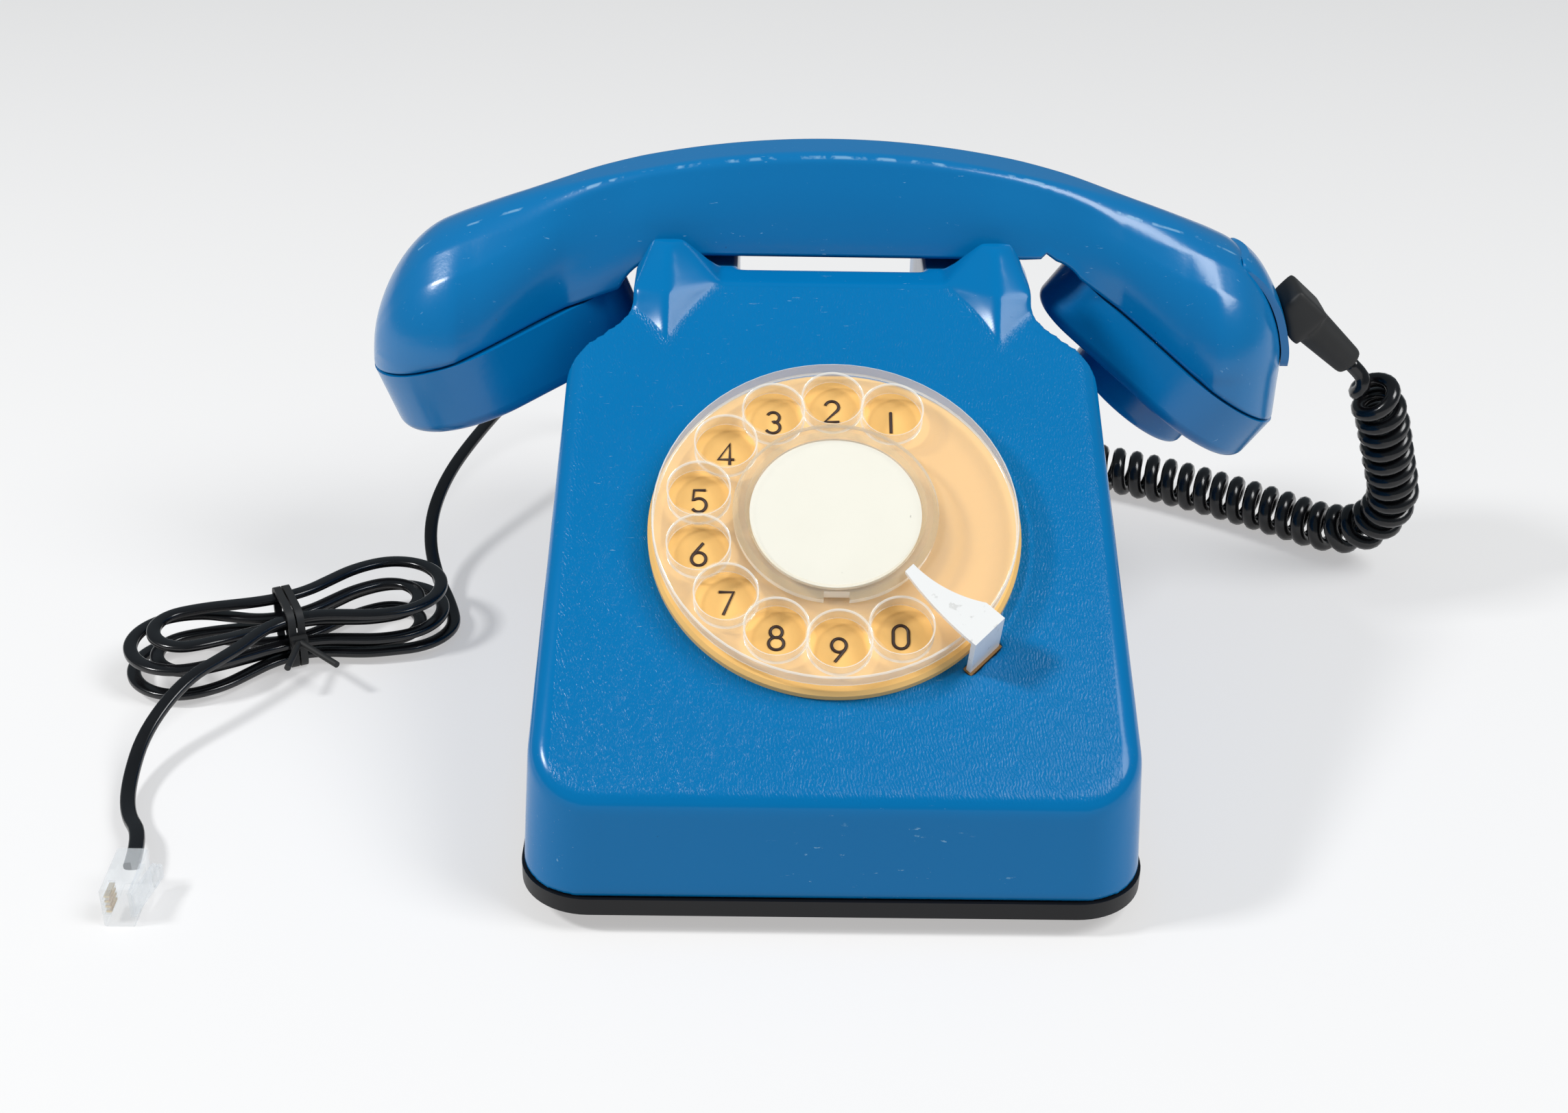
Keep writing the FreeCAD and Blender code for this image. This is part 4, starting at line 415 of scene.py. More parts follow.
def frames_on(line):
    """Headings along a line and a sideways pair that never twists."""
    heads = np.gradient(line, axis=0)
    heads /= np.linalg.norm(heads, axis=1)[:, None]
    side = np.cross(heads[0], (0.0, 0.0, 1.0))
    sides = []
    for head in heads:
        side = side - head * side.dot(head)
        side = side / np.linalg.norm(side)
        sides.append(side)
    sides = np.array(sides)
    return heads, sides, np.cross(heads, sides)


def curl_line(line):
    """The middle of a wire that is wound about a line, with plain ends."""
    heads, sides, others = frames_on(line)
    end = np.array(CURL_LAST) + np.array((0, -DEPTH / 2, 0))
    last = int(np.argmin(np.linalg.norm(line - end, axis=1)))
    first = int(PLAIN_START / CURL_STEP)
    ramp = int(RAMP_TURNS * CURL_PITCH / CURL_STEP)
    bend = np.linalg.norm(np.gradient(heads, axis=0), axis=1) / CURL_STEP
    angle = 0.0
    points = []
    for i, spot in enumerate(line):
        inside = first < i <= last
        if inside:
            opened = LEAST_PITCH / max(1 - CURL_RADIUS * bend[i], 0.3)
            from_end = ease(min(i - first, last - i) / ramp)
            local = max(CURL_PITCH, opened) + RAMP_OPENS * CURL_PITCH * (1 - from_end)
            angle += 2 * math.pi * CURL_STEP / local
        swell = CURL_RADIUS * ease((i - first) / ramp) * ease((last - i) / ramp)
        points.append(spot + sides[i] * swell * math.cos(angle) + others[i] * swell * math.sin(angle))
    print("curls:", round(angle / (2 * math.pi), 1), "turns")
    return np.array(points)


curl_path = even_points(curl_line(curl_route) * MM, RING_STEP * MM)
print("wound line:", len(curl_path), "points")


# %% [markdown]
# ## The handset's cord
#
# The wound line becomes a round wire. A bevelled curve could follow it, but would leave the twist of its
# section to Blender. So rings of a mesh are laid along the line, set square to it and never twisted. The cord
# joins the base to the handset.

# %% Cover the wire
def tube(name, line, radius, sides=10):
    """A round tube whose rings follow a line given in metres."""
    heads, across, over = frames_on(line)
    turns = np.linspace(0, 2 * math.pi, sides, endpoint=False)
    rings = line[:, None] + radius * (across[:, None] * np.cos(turns)[None, :, None]
                                      + over[:, None] * np.sin(turns)[None, :, None])
    count = len(line)
    faces = []
    for i in range(count - 1):
        for j in range(sides):
            k = (j + 1) % sides
            faces.append((i * sides + j, i * sides + k, (i + 1) * sides + k, (i + 1) * sides + j))
    faces.append(tuple(range(sides - 1, -1, -1)))
    faces.append(tuple((count - 1) * sides + j for j in range(sides)))
    return mesh_piece(name, rings.reshape(-1, 3), faces)


curly_cord = tube("curly_cord", curl_path, CURL_WIRE / 2 * MM)
here(140.0, 160.0, 14.0)
here(132.0, 141.5, 69.0)
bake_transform(curly_cord)
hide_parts("handset_cord")


# %% [markdown]
# ## The strain relief
#
# A black rubber block guards the cord where it leaves the handset. A bevel rounds the edges that it is given,
# but rubber is soft all over. So the CAD's block is remeshed in small even voxels and relaxed, which rounds
# every edge and corner alike.

# %% Soften the strain relief
def soft_copy(source, name, voxel, passes):
    """A CAD piece remeshed in even voxels and relaxed, so that its edges turn over softly."""
    copy = link(bpy.data.objects.new(name, NODES[source].data.copy()))
    remesh = copy.modifiers.new("even", "REMESH")
    remesh.mode = "VOXEL"
    remesh.voxel_size = voxel * MM
    relax = copy.modifiers.new("relax", "SMOOTH")
    relax.factor = 0.5
    relax.iterations = passes
    depsgraph = bpy.context.evaluated_depsgraph_get()
    data = bpy.data.meshes.new_from_object(copy.evaluated_get(depsgraph))
    bpy.data.objects.remove(copy)
    data.polygons.foreach_set("use_smooth", [True] * len(data.polygons))
    data.name = name
    return link(bpy.data.objects.new(name, data))


relief = soft_copy("strain_relief", "soft_relief", voxel=0.35, passes=90)
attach(relief, "handset")
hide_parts("strain_relief")
here(32.0, 198.9, 19.5)
print("strain relief:", len(relief.data.polygons), "faces")


# %% [markdown]
# ## Shader arithmetic
#
# Wear and emboss are sums and products of simple patterns, and each step of them is a
# node. Long chains of nodes written one by one are hard to read. `Value` wraps a node's
# output, so that Python's operators add the Math nodes, with reflected forms so that
# `1 - mask` works. `node` makes any other kind.

# %% Values that can be added
class Value:
    """A shader socket that can be added, multiplied and compared like a number."""

    def __init__(self, tree, socket):
        self.tree = tree
        self.socket = socket

    def math(self, operation, *others):
        """A Math node on this value and the others."""
        terms = dict(enumerate((self, *others)))
        return node(self.tree, "ShaderNodeMath", 0, {"operation": operation}, terms)

    def __add__(self, other):
        return self.math("ADD", other)

    def __mul__(self, other):
        return self.math("MULTIPLY", other)

    def __sub__(self, other):
        return self.math("SUBTRACT", other)

    def __rsub__(self, other):
        return (self * -1.0) + other

    def __abs__(self):
        return self.math("ABSOLUTE")

    def __gt__(self, other):
        return self.math("GREATER_THAN", other)

    def __lt__(self, other):
        return self.math("LESS_THAN", other)

    __radd__ = __add__
    __rmul__ = __mul__

    def ramp(self, low, high):
        """0 below low, 1 above high and smooth in between."""
        return node(self.tree, "ShaderNodeMapRange", "Result", {"interpolation_type": "SMOOTHSTEP"},
                    {"Value": self, "From Min": low, "From Max": high})


def feed(tree, slot, term):
    """Link a value to a socket, or set a plain number or colour there."""
    if isinstance(term, Value):
        tree.links.new(term.socket, slot)
    else:
        slot.default_value = term


def node(tree, kind, output, settings=None, inputs=None):
    """Add a node: its settings first, then the values or links of its sockets."""
    made = tree.nodes.new(kind)
    for name, term in (settings or {}).items():
        setattr(made, name, term)
    for name, term in (inputs or {}).items():
        feed(tree, made.inputs[name], term)
    return Value(tree, made.outputs[output])


print("shader values: reflected forms", [name for name in vars(Value) if name.startswith("__r")])


# %% [markdown]
# ## Paints and plain finishes
#
# Most inner pieces are of one even material: bare metal, black rubber, grey plastic. A
# Principled shader with a few constants is enough for those. `Paint` sets one up, and
# also holds the patterns that the richer finishes below are made of. Separate node
# groups could hold them too, but methods are shorter to call.

# %% Set up the paints
class Paint:
    """A material built on one Principled shader."""

    def __init__(self, name, color, **constants):
        self.material = bpy.data.materials.new(name)
        self.material.use_nodes = True
        self.tree = self.material.node_tree
        self.shader = self.tree.nodes["Principled BSDF"]
        self.set("Base Color", (*color, 1.0))
        for key, term in constants.items():
            self.set(key.replace("_", " ").title().replace("Ior", "IOR"), term)

    def set(self, name, term):
        """Set or link one of the shader's sockets."""
        feed(self.tree, self.shader.inputs[name], term)

    def place(self):
        """The piece's own coordinates."""
        return node(self.tree, "ShaderNodeTexCoord", "Object")

    def split(self, vector):
        """A vector's x, y and z."""
        first = node(self.tree, "ShaderNodeSeparateXYZ", 0, None, {0: vector})
        return [Value(self.tree, part) for part in first.socket.node.outputs]

    def noise(self, scale, detail=2.0, rough=0.5, stretch=(1, 1, 1)):
        """A soft random pattern from 0 to 1."""
        spot = node(self.tree, "ShaderNodeMapping", "Vector", None,
                    {"Vector": self.place(), "Scale": stretch})
        return node(self.tree, "ShaderNodeTexNoise", "Fac", None,
                    {"Vector": spot, "Scale": scale, "Detail": detail, "Roughness": rough})

    def mix(self, part, first, second):
        """From the first colour to the second; a Mix node's colour sockets are 6, 7 and, going out, 2."""
        colors = [term if isinstance(term, Value) else (*term, 1.0) for term in (first, second)]
        terms = {0: part, 6: colors[0], 7: colors[1]}
        return node(self.tree, "ShaderNodeMix", 2, {"data_type": "RGBA"}, terms)

    def bump(self, height, strength, distance):
        """Let a pattern of heights tilt the surface."""
        self.set("Normal", node(self.tree, "ShaderNodeBump", "Normal", None,
                                {"Height": height, "Strength": strength, "Distance": distance}))


def plain(name, color, **constants):
    """A finish that is the same all over."""
    return Paint(name, color, **constants).material


FINISH = {
    "black_base": plain("black_base", (0.005, 0.005, 0.006), roughness=0.4, specular_ior_level=0.3),
    "black_rubber": plain("black_rubber", (0.012, 0.012, 0.012), roughness=0.6),
    "dirt": plain("dirt", (0.25, 0.13, 0.04), roughness=0.8),
    "steel": plain("steel", (0.45, 0.45, 0.46), metallic=1.0, roughness=0.35),
    "brass": plain("brass", (0.72, 0.52, 0.2), metallic=1.0, roughness=0.3),
    "gold_contact": plain("gold_contact", (0.85, 0.6, 0.2), metallic=1.0, roughness=0.2),
    "winding": plain("winding", (0.3, 0.09, 0.04), roughness=0.4),
    "board_green": plain("board_green", (0.03, 0.16, 0.07), roughness=0.45),
    "grey_part": plain("grey_part", (0.3, 0.3, 0.3), roughness=0.5),
    "ink": plain("ink", (0.03, 0.012, 0.008), roughness=0.5),
}
print("plain finishes:", len(FINISH))


# %% [markdown]
# ## The dial's place
#
# The dial lies on the sloping face, tilted by 30 degrees. Its pieces could each be
# turned by hand. A single matrix from the dial's own axes to the frame is surer, and it
# serves the finish of the sloping face as well.

# %% Place the dial's axes
SLOPE_TILT = math.radians(30)
SLOPE_FOOT = (1.0, 33.0)
DIAL_ALONG = 64.0


def dial_matrix():
    """From the dial's own axes, in millimetres, to the frame."""
    back = SLOPE_FOOT[0] + DIAL_ALONG * math.cos(SLOPE_TILT)
    up = SLOPE_FOOT[1] + DIAL_ALONG * math.sin(SLOPE_TILT)
    return Matrix.Translation(here(0, back, up)) @ Matrix.Rotation(SLOPE_TILT, 4, "X") @ Matrix.Scale(MM, 4)


DIAL = dial_matrix()
print("dial: middle at", [round(v, 4) for v in DIAL.to_translation()])


# %% [markdown]
# ## The blue plastic
#
# The casing is moulded in glossy blue plastic. Its sloping face has a fine emboss, and
# use has left small scratches and dark specks. An image could hold all that, but it
# would have to be painted and unwrapped. Noise patterns need neither: they follow the
# object's own coordinates, and a mask keeps the emboss on the slope.

# %% Mix the worn blue
BLUE = (0.0004, 0.162, 0.412)
DEEP_BLUE = (0.0003, 0.138, 0.372)
# Pale blue of scratches and rubbed ridges; on the ridges it is also a painted highlight.
WORN_AND_HIGHLIGHT = (0.30, 0.55, 0.74)
SPECK = (0.004, 0.03, 0.08)
SCRATCH_STRETCH = (1.0, 9.0, 3.0)
SLOPE_HALF = 0.0585
SLOPE_BACK = 0.02


def wear_marks(paint, scratch_from):
    """Fine scratches and dark specks, each in scattered patches, as masks."""
    scratch = paint.noise(260, 4.0, 0.7, SCRATCH_STRETCH).ramp(scratch_from, scratch_from + 0.04)
    speck = paint.noise(900, 1.0).ramp(0.80, 0.83)
    return scratch * paint.noise(35, 2.0).ramp(0.45, 0.58), speck * paint.noise(50, 1.0).ramp(0.5, 0.65)


def worn_and_highlit_blue(paint, speck, *wear):
    """The blue with a soft drift of tone; wear is pairs of a mask and its strength, and a pair may also paint
    a highlight.
    """
    tone = paint.mix(paint.noise(40, 3.0) * 0.35, BLUE, DEEP_BLUE)
    for mask, strength in wear:
        tone = paint.mix(mask * strength, tone, WORN_AND_HIGHLIGHT)
    return paint.mix(speck * 0.7, tone, SPECK)


def blue_plastic():
    """Glossy blue, embossed on the sloping face."""
    paint = Paint("blue_plastic", BLUE, roughness=0.2, specular_ior_level=0.2)
    x, y, z = paint.split(paint.place())
    middle = DIAL.to_translation()
    height = (y - middle.y) * -math.sin(SLOPE_TILT) + (z - middle.z) * math.cos(SLOPE_TILT)
    on_slope = abs(height).ramp(0.0007, 0.0001) * (abs(x) < SLOPE_HALF) * (y < SLOPE_BACK)
    warp = paint.noise(260, 3.0)
    grain = paint.noise(2600, 2.0, 0.6, (1.0, 0.4, 0.4))
    ripples = ((x * 8200 + y * 2600 + warp * 30).math("SINE") * 0.5 + 0.5) * paint.noise(700, 2.0)
    emboss = (grain * 0.8 + ripples * 0.4) * on_slope
    scratch, speck = wear_marks(paint, 0.67)
    paint.set("Base Color", worn_and_highlit_blue(paint, speck, (scratch, 0.5)))
    paint.set("Roughness", paint.noise(60, 4.0) * 0.08 + 0.14 + scratch * 0.25 + on_slope * 0.06)
    paint.bump(emboss + scratch * -0.3, 0.55, 0.0003)
    return paint.material


FINISH["blue_shell"] = blue_plastic()
print("blue plastic:", len(FINISH["blue_shell"].node_tree.nodes), "nodes")


# %% [markdown]
# ## The handset's blue
#
# The handset is of the same plastic, with more shine, and the two long ridges of its handle are rubbed paler
# and carry a painted highlight. They could be found by how sharply the mesh bends, but that changes with the
# mesh's fineness. Two bands at a set distance from the middle line are steadier.

# %% Rub the handset's ridges and paint their highlight
HANDSET_BACK = 140.5
RIDGE_OUT = 0.0063
RIDGE_FOOT = 0.098


def handset_blue():
    """The same blue, rubbed paler along the ridges, with a painted highlight there too."""
    paint = Paint("handset_blue", BLUE, roughness=0.2, specular_ior_level=0.5)
    x, y, z = paint.split(paint.place())
    back = here(0, HANDSET_BACK, 0).y
    # The paler bands on the ridges are partly rubbed wear and partly a painted highlight.
    ridge_wear_and_highlight = abs(abs(y - back) - RIDGE_OUT).ramp(0.0005, 0.0001) * (z > RIDGE_FOOT)
    ridge_wear_and_highlight = ridge_wear_and_highlight * paint.noise(220, 3.0).ramp(0.5, 0.6)
    scratch, speck = wear_marks(paint, 0.68)
    paint.set("Base Color", worn_and_highlit_blue(paint, speck, (scratch, 0.5), (ridge_wear_and_highlight, 0.45)))
    paint.set("Roughness", paint.noise(60, 4.0) * 0.1 + 0.17 + scratch * 0.25 + ridge_wear_and_highlight * 0.2)
    paint.bump(paint.noise(700, 2.0) + scratch * -1.0, 0.06, 0.0004)
    return paint.material


FINISH["handset_blue"] = handset_blue()
print("handset blue:", len(FINISH["handset_blue"].node_tree.nodes), "nodes")


# %% [markdown]
# ## Clear, cream, black and bright finishes
#
# The wheel, the cap and the plug are of clear plastic. The plate is yellowed cream, the card white, the cords
# shiny black and the finger stop bright metal, whose near-white is partly a painted reflection. Real glass
# shaders bend the light and are slow to clear of noise. So the clear pieces let part of the light straight
# through and have a glossy coat, with more body at walls and edges, where the paler colour is partly a
# painted reflection.

# %% Mix the other finishes
def clear_plastic(name, color, alpha, roughness=0.1):
    """Thin clear plastic: part of the light goes straight through."""
    return plain(name, color, roughness=roughness, alpha=alpha, specular_ior_level=1.0, coat_weight=0.6)


def black_cord_paint():
    """Black with an uneven shine."""
    paint = Paint("black_cord", (0.005, 0.005, 0.006), roughness=0.2)
    paint.set("Roughness", paint.noise(300, 3.0) * 0.16 + 0.12)
    return paint.material


def number_paint():
    """Cream that drifts to a deeper yellow."""
    paint = Paint("number_cream", (0.78, 0.48, 0.20), roughness=0.3)
    stain = paint.noise(70, 4.0)
    paint.set("Base Color", paint.mix(stain, (0.97, 0.595, 0.205), (0.90, 0.54, 0.175)))
    return paint.material


def card_paint():
    """White card with a few dark flecks."""
    paint = Paint("ivory_card", (0.83, 0.81, 0.73), roughness=0.6)
    fleck = paint.noise(1400, 2.0).ramp(0.72, 0.76) * paint.noise(160, 2.0).ramp(0.5, 0.62)
    tone = paint.mix(paint.noise(90, 4.0), (0.87, 0.84, 0.745), (0.83, 0.80, 0.70))
    paint.set("Base Color", paint.mix(fleck * 0.7, tone, (0.25, 0.24, 0.2)))
    return paint.material


def bright_metal():
    """Metal whose near-white colour is partly a painted reflection of the bright surroundings, worn dull in
    spots.
    """
    # Near-white with little metal: partly a painted reflection of the bright surroundings.
    paint = Paint("bright_metal", (0.96, 0.95, 0.93), metallic=0.2, roughness=0.2)
    wear = paint.noise(500, 4.0).ramp(0.62, 0.7)
    paint.set("Base Color", paint.mix(wear * 0.3, (0.96, 0.95, 0.93), (0.40, 0.38, 0.34)))
    return paint.material


FINISH.update({
    "black_cord": black_cord_paint(),
    "number_cream": number_paint(),
    "ivory_card": card_paint(),
    "clear_wheel": clear_plastic("clear_wheel", (1.0, 0.88, 0.70), 0.15),
    # Walls and rims: denser clear plastic, and their paler colour is partly a painted reflection.
    "clear_wall": clear_plastic("clear_wall", (0.95, 0.87, 0.74), 0.42, 0.06),
    "clear_edge": clear_plastic("clear_edge", (1.0, 0.97, 0.90), 0.72, 0.05),
    "clear_cap": clear_plastic("clear_cap", (0.9, 0.87, 0.78), 0.07),
    "clear_ring": clear_plastic("clear_ring", (0.88, 0.74, 0.50), 0.28, 0.06),
    "clear_plug": clear_plastic("clear_plug", (0.85, 0.88, 0.90), 0.3, 0.06),
    "bright_metal": bright_metal(),
})
print("finishes:", len(FINISH))


# %% [markdown]
# ## Putting the finishes on
#
# Each CAD piece has a material slot in the frame's record. The finishes could be given
# one by one, but a loop over that list forgets none. The handset's caps and its collar
# then take the handset's own blue, and the new cords and the relief get theirs.

# %% Finish every piece
SLOT_OF = {part["node"]: part["material_slot"] for part in frame["record"]["subparts"]}


def finish(thing, name):
    """Give a piece its finish and its material slot."""
    thing.data.materials.clear()
    thing.data.materials.append(FINISH[name])
    return thing


for name, thing in NODES.items():
    thing.data.materials.clear()
    thing.data.materials.append(FINISH[SLOT_OF[name]])
for name in ("ear_cap", "mouth_cap", "cord_collar"):
    NODES[name].data.materials[0] = FINISH["handset_blue"]
finish(line_cord, "black_cord")
finish(curly_cord, "black_cord")
finish(relief, "black_rubber")
print("finished:", len(NODES), "CAD pieces")


# %% [markdown]
# ## The moulded casing
#
# The casing is one moulding, and its edges turn over softly. A bevel needs clean edges
# all round, and a mesh from CAD often has long thin faces. So the casing is copied,
# remeshed finely and relaxed a little. The horns that hold the handset are relaxed once
# more, because their real tips are rounder.

# %% Soften the casing
def soften_above(thing, height, fade, passes):
    """Relax once more what stands above a height, fully from a short fade upwards."""
    group = thing.vertex_groups.new(name="above")
    for point in thing.data.vertices:
        share = ease((point.co.z / MM - height) / fade)
        if share > 0:
            group.add([point.index], share, "REPLACE")
    relax = thing.modifiers.new("relax", "SMOOTH")
    relax.factor = 0.5
    relax.iterations = passes
    relax.vertex_group = group.name
    depsgraph = bpy.context.evaluated_depsgraph_get()
    data = bpy.data.meshes.new_from_object(thing.evaluated_get(depsgraph))
    thing.modifiers.clear()
    thing.data = data


HORN_FOOT = 98.5
HORN_FADE = 3.0
casing = soft_copy("casing", "moulded_casing", voxel=0.6, passes=14)
soften_above(casing, HORN_FOOT, HORN_FADE, passes=36)
finish(casing, "blue_shell")
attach(casing, "base")
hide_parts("casing")
print("casing:", len(casing.data.polygons), "faces")


# %% [markdown]
# ## The handset's outline
#
# Seen from above, the handset is a narrow handle that widens to two round ends. Seen
# from the side, its top is gently arched, and below the handle two arches lead down to
# the seams of the caps. The outline could be traced from the photograph, but it is the
# CAD's own rule that keeps this piece in line with the caps.

# %% Outline the handset
HANDSET_HALF = 112.5
END_RADIUS = 25.0
HANDLE_HALF = 13.5
TAPER_RUN = 28.0
TAPER_EASE = 0.35
CROWN_TOP = 123.5
CROWN_BEND = 420.0
UNDERSIDE = 100.0
# For each end: the seam's tilt, its height at the tip, the arch's radius and where the arch starts
ENDS = {-1: (math.radians(21), 67.3, 14.0, 37.5), 1: (math.radians(36), 56.5, 12.0, 50.0)}
SEAM_GAP = 0.15


def end_centres(side):
    """Where an end's nose begins, and where the handle begins to widen."""
    tilt = ENDS[side][0]
    big = HANDSET_HALF - END_RADIUS * math.cos(tilt)
    return big, big - TAPER_RUN * math.cos(tilt)


def half_width(side, along):
    """Half the width at a distance from the middle."""
    big, small = end_centres(side)
    if along >= big:
        part = (along - big) / (HANDSET_HALF - big)
        return END_RADIUS * math.sqrt(max(1 - part * part, 0.0))
    if along <= small:
        return HANDLE_HALF
    part = (along - small) / (big - small)
    part = TAPER_EASE * ease(part) + (1 - TAPER_EASE) * part
    return HANDLE_HALF + (END_RADIUS - HANDLE_HALF) * part


def top_height(side, along):
    """The height of the arched top, rounded down at the tip."""
    start = end_centres(side)[0] + 4
    part = max(along - start, 0.0) / (HANDSET_HALF - start)
    crown = CROWN_TOP - along * along / CROWN_BEND
    return crown - END_RADIUS * (1 - math.sqrt(max(1 - part * part, 0.0)))


def low_height(side, along):
    """The arch under the handle, or the seam beyond it."""
    tilt, outer, radius, start = ENDS[side]
    seam = outer + (HANDSET_HALF - along) * math.tan(tilt) + SEAM_GAP / math.cos(tilt)
    into = along - start
    if into <= 0:
        return UNDERSIDE
    if into >= radius:
        return seam
    return max(UNDERSIDE - radius + math.sqrt(radius * radius - into * into), seam)


print("handset: top at the middle", top_height(1, 0.0), "mm, at the mouth end",
      round(top_height(1, end_centres(1)[0]), 1), "mm")


# %% [markdown]
# ## The handset's sections
#
# Across the handle a section has a flat top and sloping sides with rounded corners, and
# at the ends it is an oval. A subdivision surface would need creases placed by hand
# along the whole length. Here each section is worked out from a few corners and then
# drawn towards an oval, so that the long edges fade into the round ends.

# %% Shape the handset's flanks
def rounded(corners, reaches, steps):
    """An open line through corners, each inner one replaced by a tangent arc."""
    points = [Vector(corners[0])]
    for i in range(1, len(corners) - 1):
        before, corner, after = (Vector(c) for c in corners[i - 1:i + 2])
        start = corner + (before - corner).normalized() * reaches[i]
        end = corner + (after - corner).normalized() * reaches[i]
        points += arc_points(start, corner, end, steps) + [end]
    points.append(Vector(corners[-1]))
    return points


FLAT_TOP_HALF = 6.5
END_FROM = 45.0
END_RUN = 40.0
LEVEL_DROP = 26.0
LEVEL_CLEAR = 8.0
BULGE_FROM = 56.0
OVAL_FROM = 54.0
OVAL_RUN = 30.0
SHOULDER = 0.45
WALL_FOOT = 40.0
TOP_EDGE = 3


def flank(along, wide, top):
    """The right side of a section, from below the seams to the middle of the top."""
    end_part = min(max((along - END_FROM) / END_RUN, 0.0), 1.0)
    shrink = min(wide / HANDLE_HALF, 1.0)
    top_half = FLAT_TOP_HALF * shrink
    level = min(UNDERSIDE - LEVEL_DROP * end_part, top - LEVEL_CLEAR)
    bulge = (0.7 + 7.0 * ease((along - BULGE_FROM) / OVAL_RUN)) * shrink
    shoulder = (top_half + (wide - top_half) * SHOULDER + bulge, top + (level - top) * SHOULDER)
    corners = [(wide - 0.4 * shrink, WALL_FOOT), (wide, level), shoulder, (top_half, top), (0.0, top)]
    reaches = []
    for i, corner in enumerate(corners):
        near = [(Vector(corner) - Vector(corners[k])).length for k in (i - 1, i + 1) if 0 <= k < len(corners)]
        share = 0.2 + 0.22 * end_part if i == TOP_EDGE else 0.42
        reaches.append(share * min(near[:1] if i == TOP_EDGE else near))
    reaches[TOP_EDGE] = min(reaches[TOP_EDGE], top_half * 0.9)
    line = np.array([list(p) for p in rounded(corners, reaches, 10)])
    over = line[:, 1] > level
    turn = np.arctan2((line[over, 1] - level) / (top - level), line[over, 0] / wide)
    oval = np.stack([wide * np.cos(turn), level + (top - level) * np.sin(turn)], axis=1)
    line[over] += (oval - line[over]) * ease((along - OVAL_FROM) / OVAL_RUN)
    moved = np.diff(line[:, 1]) + np.abs(np.diff(line[:, 0])) > 1e-6
    return line[np.concatenate([[True], moved])]


print("flank:", len(flank(0.0, HANDLE_HALF, CROWN_TOP)), "points at the middle")


# %% [markdown]
# ## The underside of the handset
#
# The underside is flat across, cut off by the arch or by a cap's seam, with a small
# rounded edge. A Boolean cut would do it, but would spoil the even grid. So each section
# ends at its own height and is then given the same number of points as the others.

# %% Close the sections below
UNDER_TURN = 1.2
SIDE_POINTS = 64


def section(side, along):
    """The right half of a section, from the middle below to the middle above."""
    wide = max(half_width(side, along), 0.4)
    top = top_height(side, along)
    low = min(low_height(side, along), top - 0.6)
    line = flank(along, wide, top)
    start = np.interp(low, line[:, 1], line[:, 0])
    turn = min(UNDER_TURN, 0.3 * wide, 0.3 * (top - low))
    under = [(0.0, low), (start - turn, low)]
    for k in range(1, 5):
        a = math.pi / 2 * k / 5
        under.append((start - turn + turn * math.sin(a), low + turn - turn * math.cos(a)))
    above = line[line[:, 1] > low + max(turn, 0.05)]
    whole = np.array(under + [tuple(p) for p in above])
    runs = np.linalg.norm(np.diff(whole, axis=0), axis=1)
    along_line = np.concatenate([[0.0], np.cumsum(runs)])
    bottom = along_line[1]
    marks = np.concatenate([np.linspace(0, bottom, 4)[:-1],
                            bottom + (along_line[-1] - bottom) * np.linspace(0, 1, SIDE_POINTS)])
    return np.stack([np.interp(marks, along_line, whole[:, k]) for k in range(2)], axis=1)


print("section:", len(section(1, 0.0)), "points a side")


# %% [markdown]
# ## The handset's body
#
# The sections stand closer together where the form turns quickly, at the arches and at
# the round ends. Even spacing would take many more of them for the same smoothness.
# Each half section is mirrored, so that both sides match.

# %% Join the handset's sections
def handset_mesh():
    """All sections from end to end, joined by faces."""
    nose = [math.sin(math.pi / 2 * i / 22) for i in range(23)]
    stations = []
    for side in (-1, 1):
        big = end_centres(side)[0]
        start = ENDS[side][3]
        arch = ENDS[side][2]
        inner = list(np.linspace(0, start - 1, 18))
        inner += list(start + arch * np.sin(np.linspace(0, math.pi / 2, 16)))
        outer = list(np.linspace(start + arch + 0.5, big, 34))
        outer += [big + (HANDSET_HALF - big) * n for n in nose[1:-1]]
        half = [(side, along) for along in inner + outer + [HANDSET_HALF - 0.01]]
        stations = list(reversed(half)) if side < 0 else stations + half[1:]
    rings = []
    for side, along in stations:
        right = section(side, along)
        left = right[-2:0:-1] * np.array([-1, 1])
        ring = np.concatenate([right, left])
        rings.append([here(side * along, HANDSET_BACK + y, z) for y, z in ring])
    count = len(rings[0])
    points = [p for ring in rings for p in ring]
    faces = []
    for i in range(len(rings) - 1):
        for j in range(count):
            k = (j + 1) % count
            faces.append((i * count + j, i * count + k, (i + 1) * count + k, (i + 1) * count + j))
    faces.append(tuple(range(count)))
    faces.append(tuple((len(rings) - 1) * count + j for j in reversed(range(count))))
    return mesh_piece("handset_body", points, faces)


handset = handset_mesh()
finish(handset, "handset_blue")
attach(handset, "handset")
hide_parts("handset_shell")
print("handset:", len(handset.data.polygons), "faces")


# %% [markdown]
# ## The finger wheel
#
# The wheel is a clear disc with ten finger holes, softly rounded at every rim. Boolean
# cuts leave rims that are hard to round evenly. So each rim is laid as rings of points,
# and the flat faces between the rims are filled with triangles.

# %% Cut the finger wheel
def circle_points(radius, count, middle=(0.0, 0.0)):
    """Points round a circle."""
    turns = [2 * math.pi * i / count for i in range(count)]
    return [(middle[0] + radius * math.cos(t), middle[1] + radius * math.sin(t)) for t in turns]


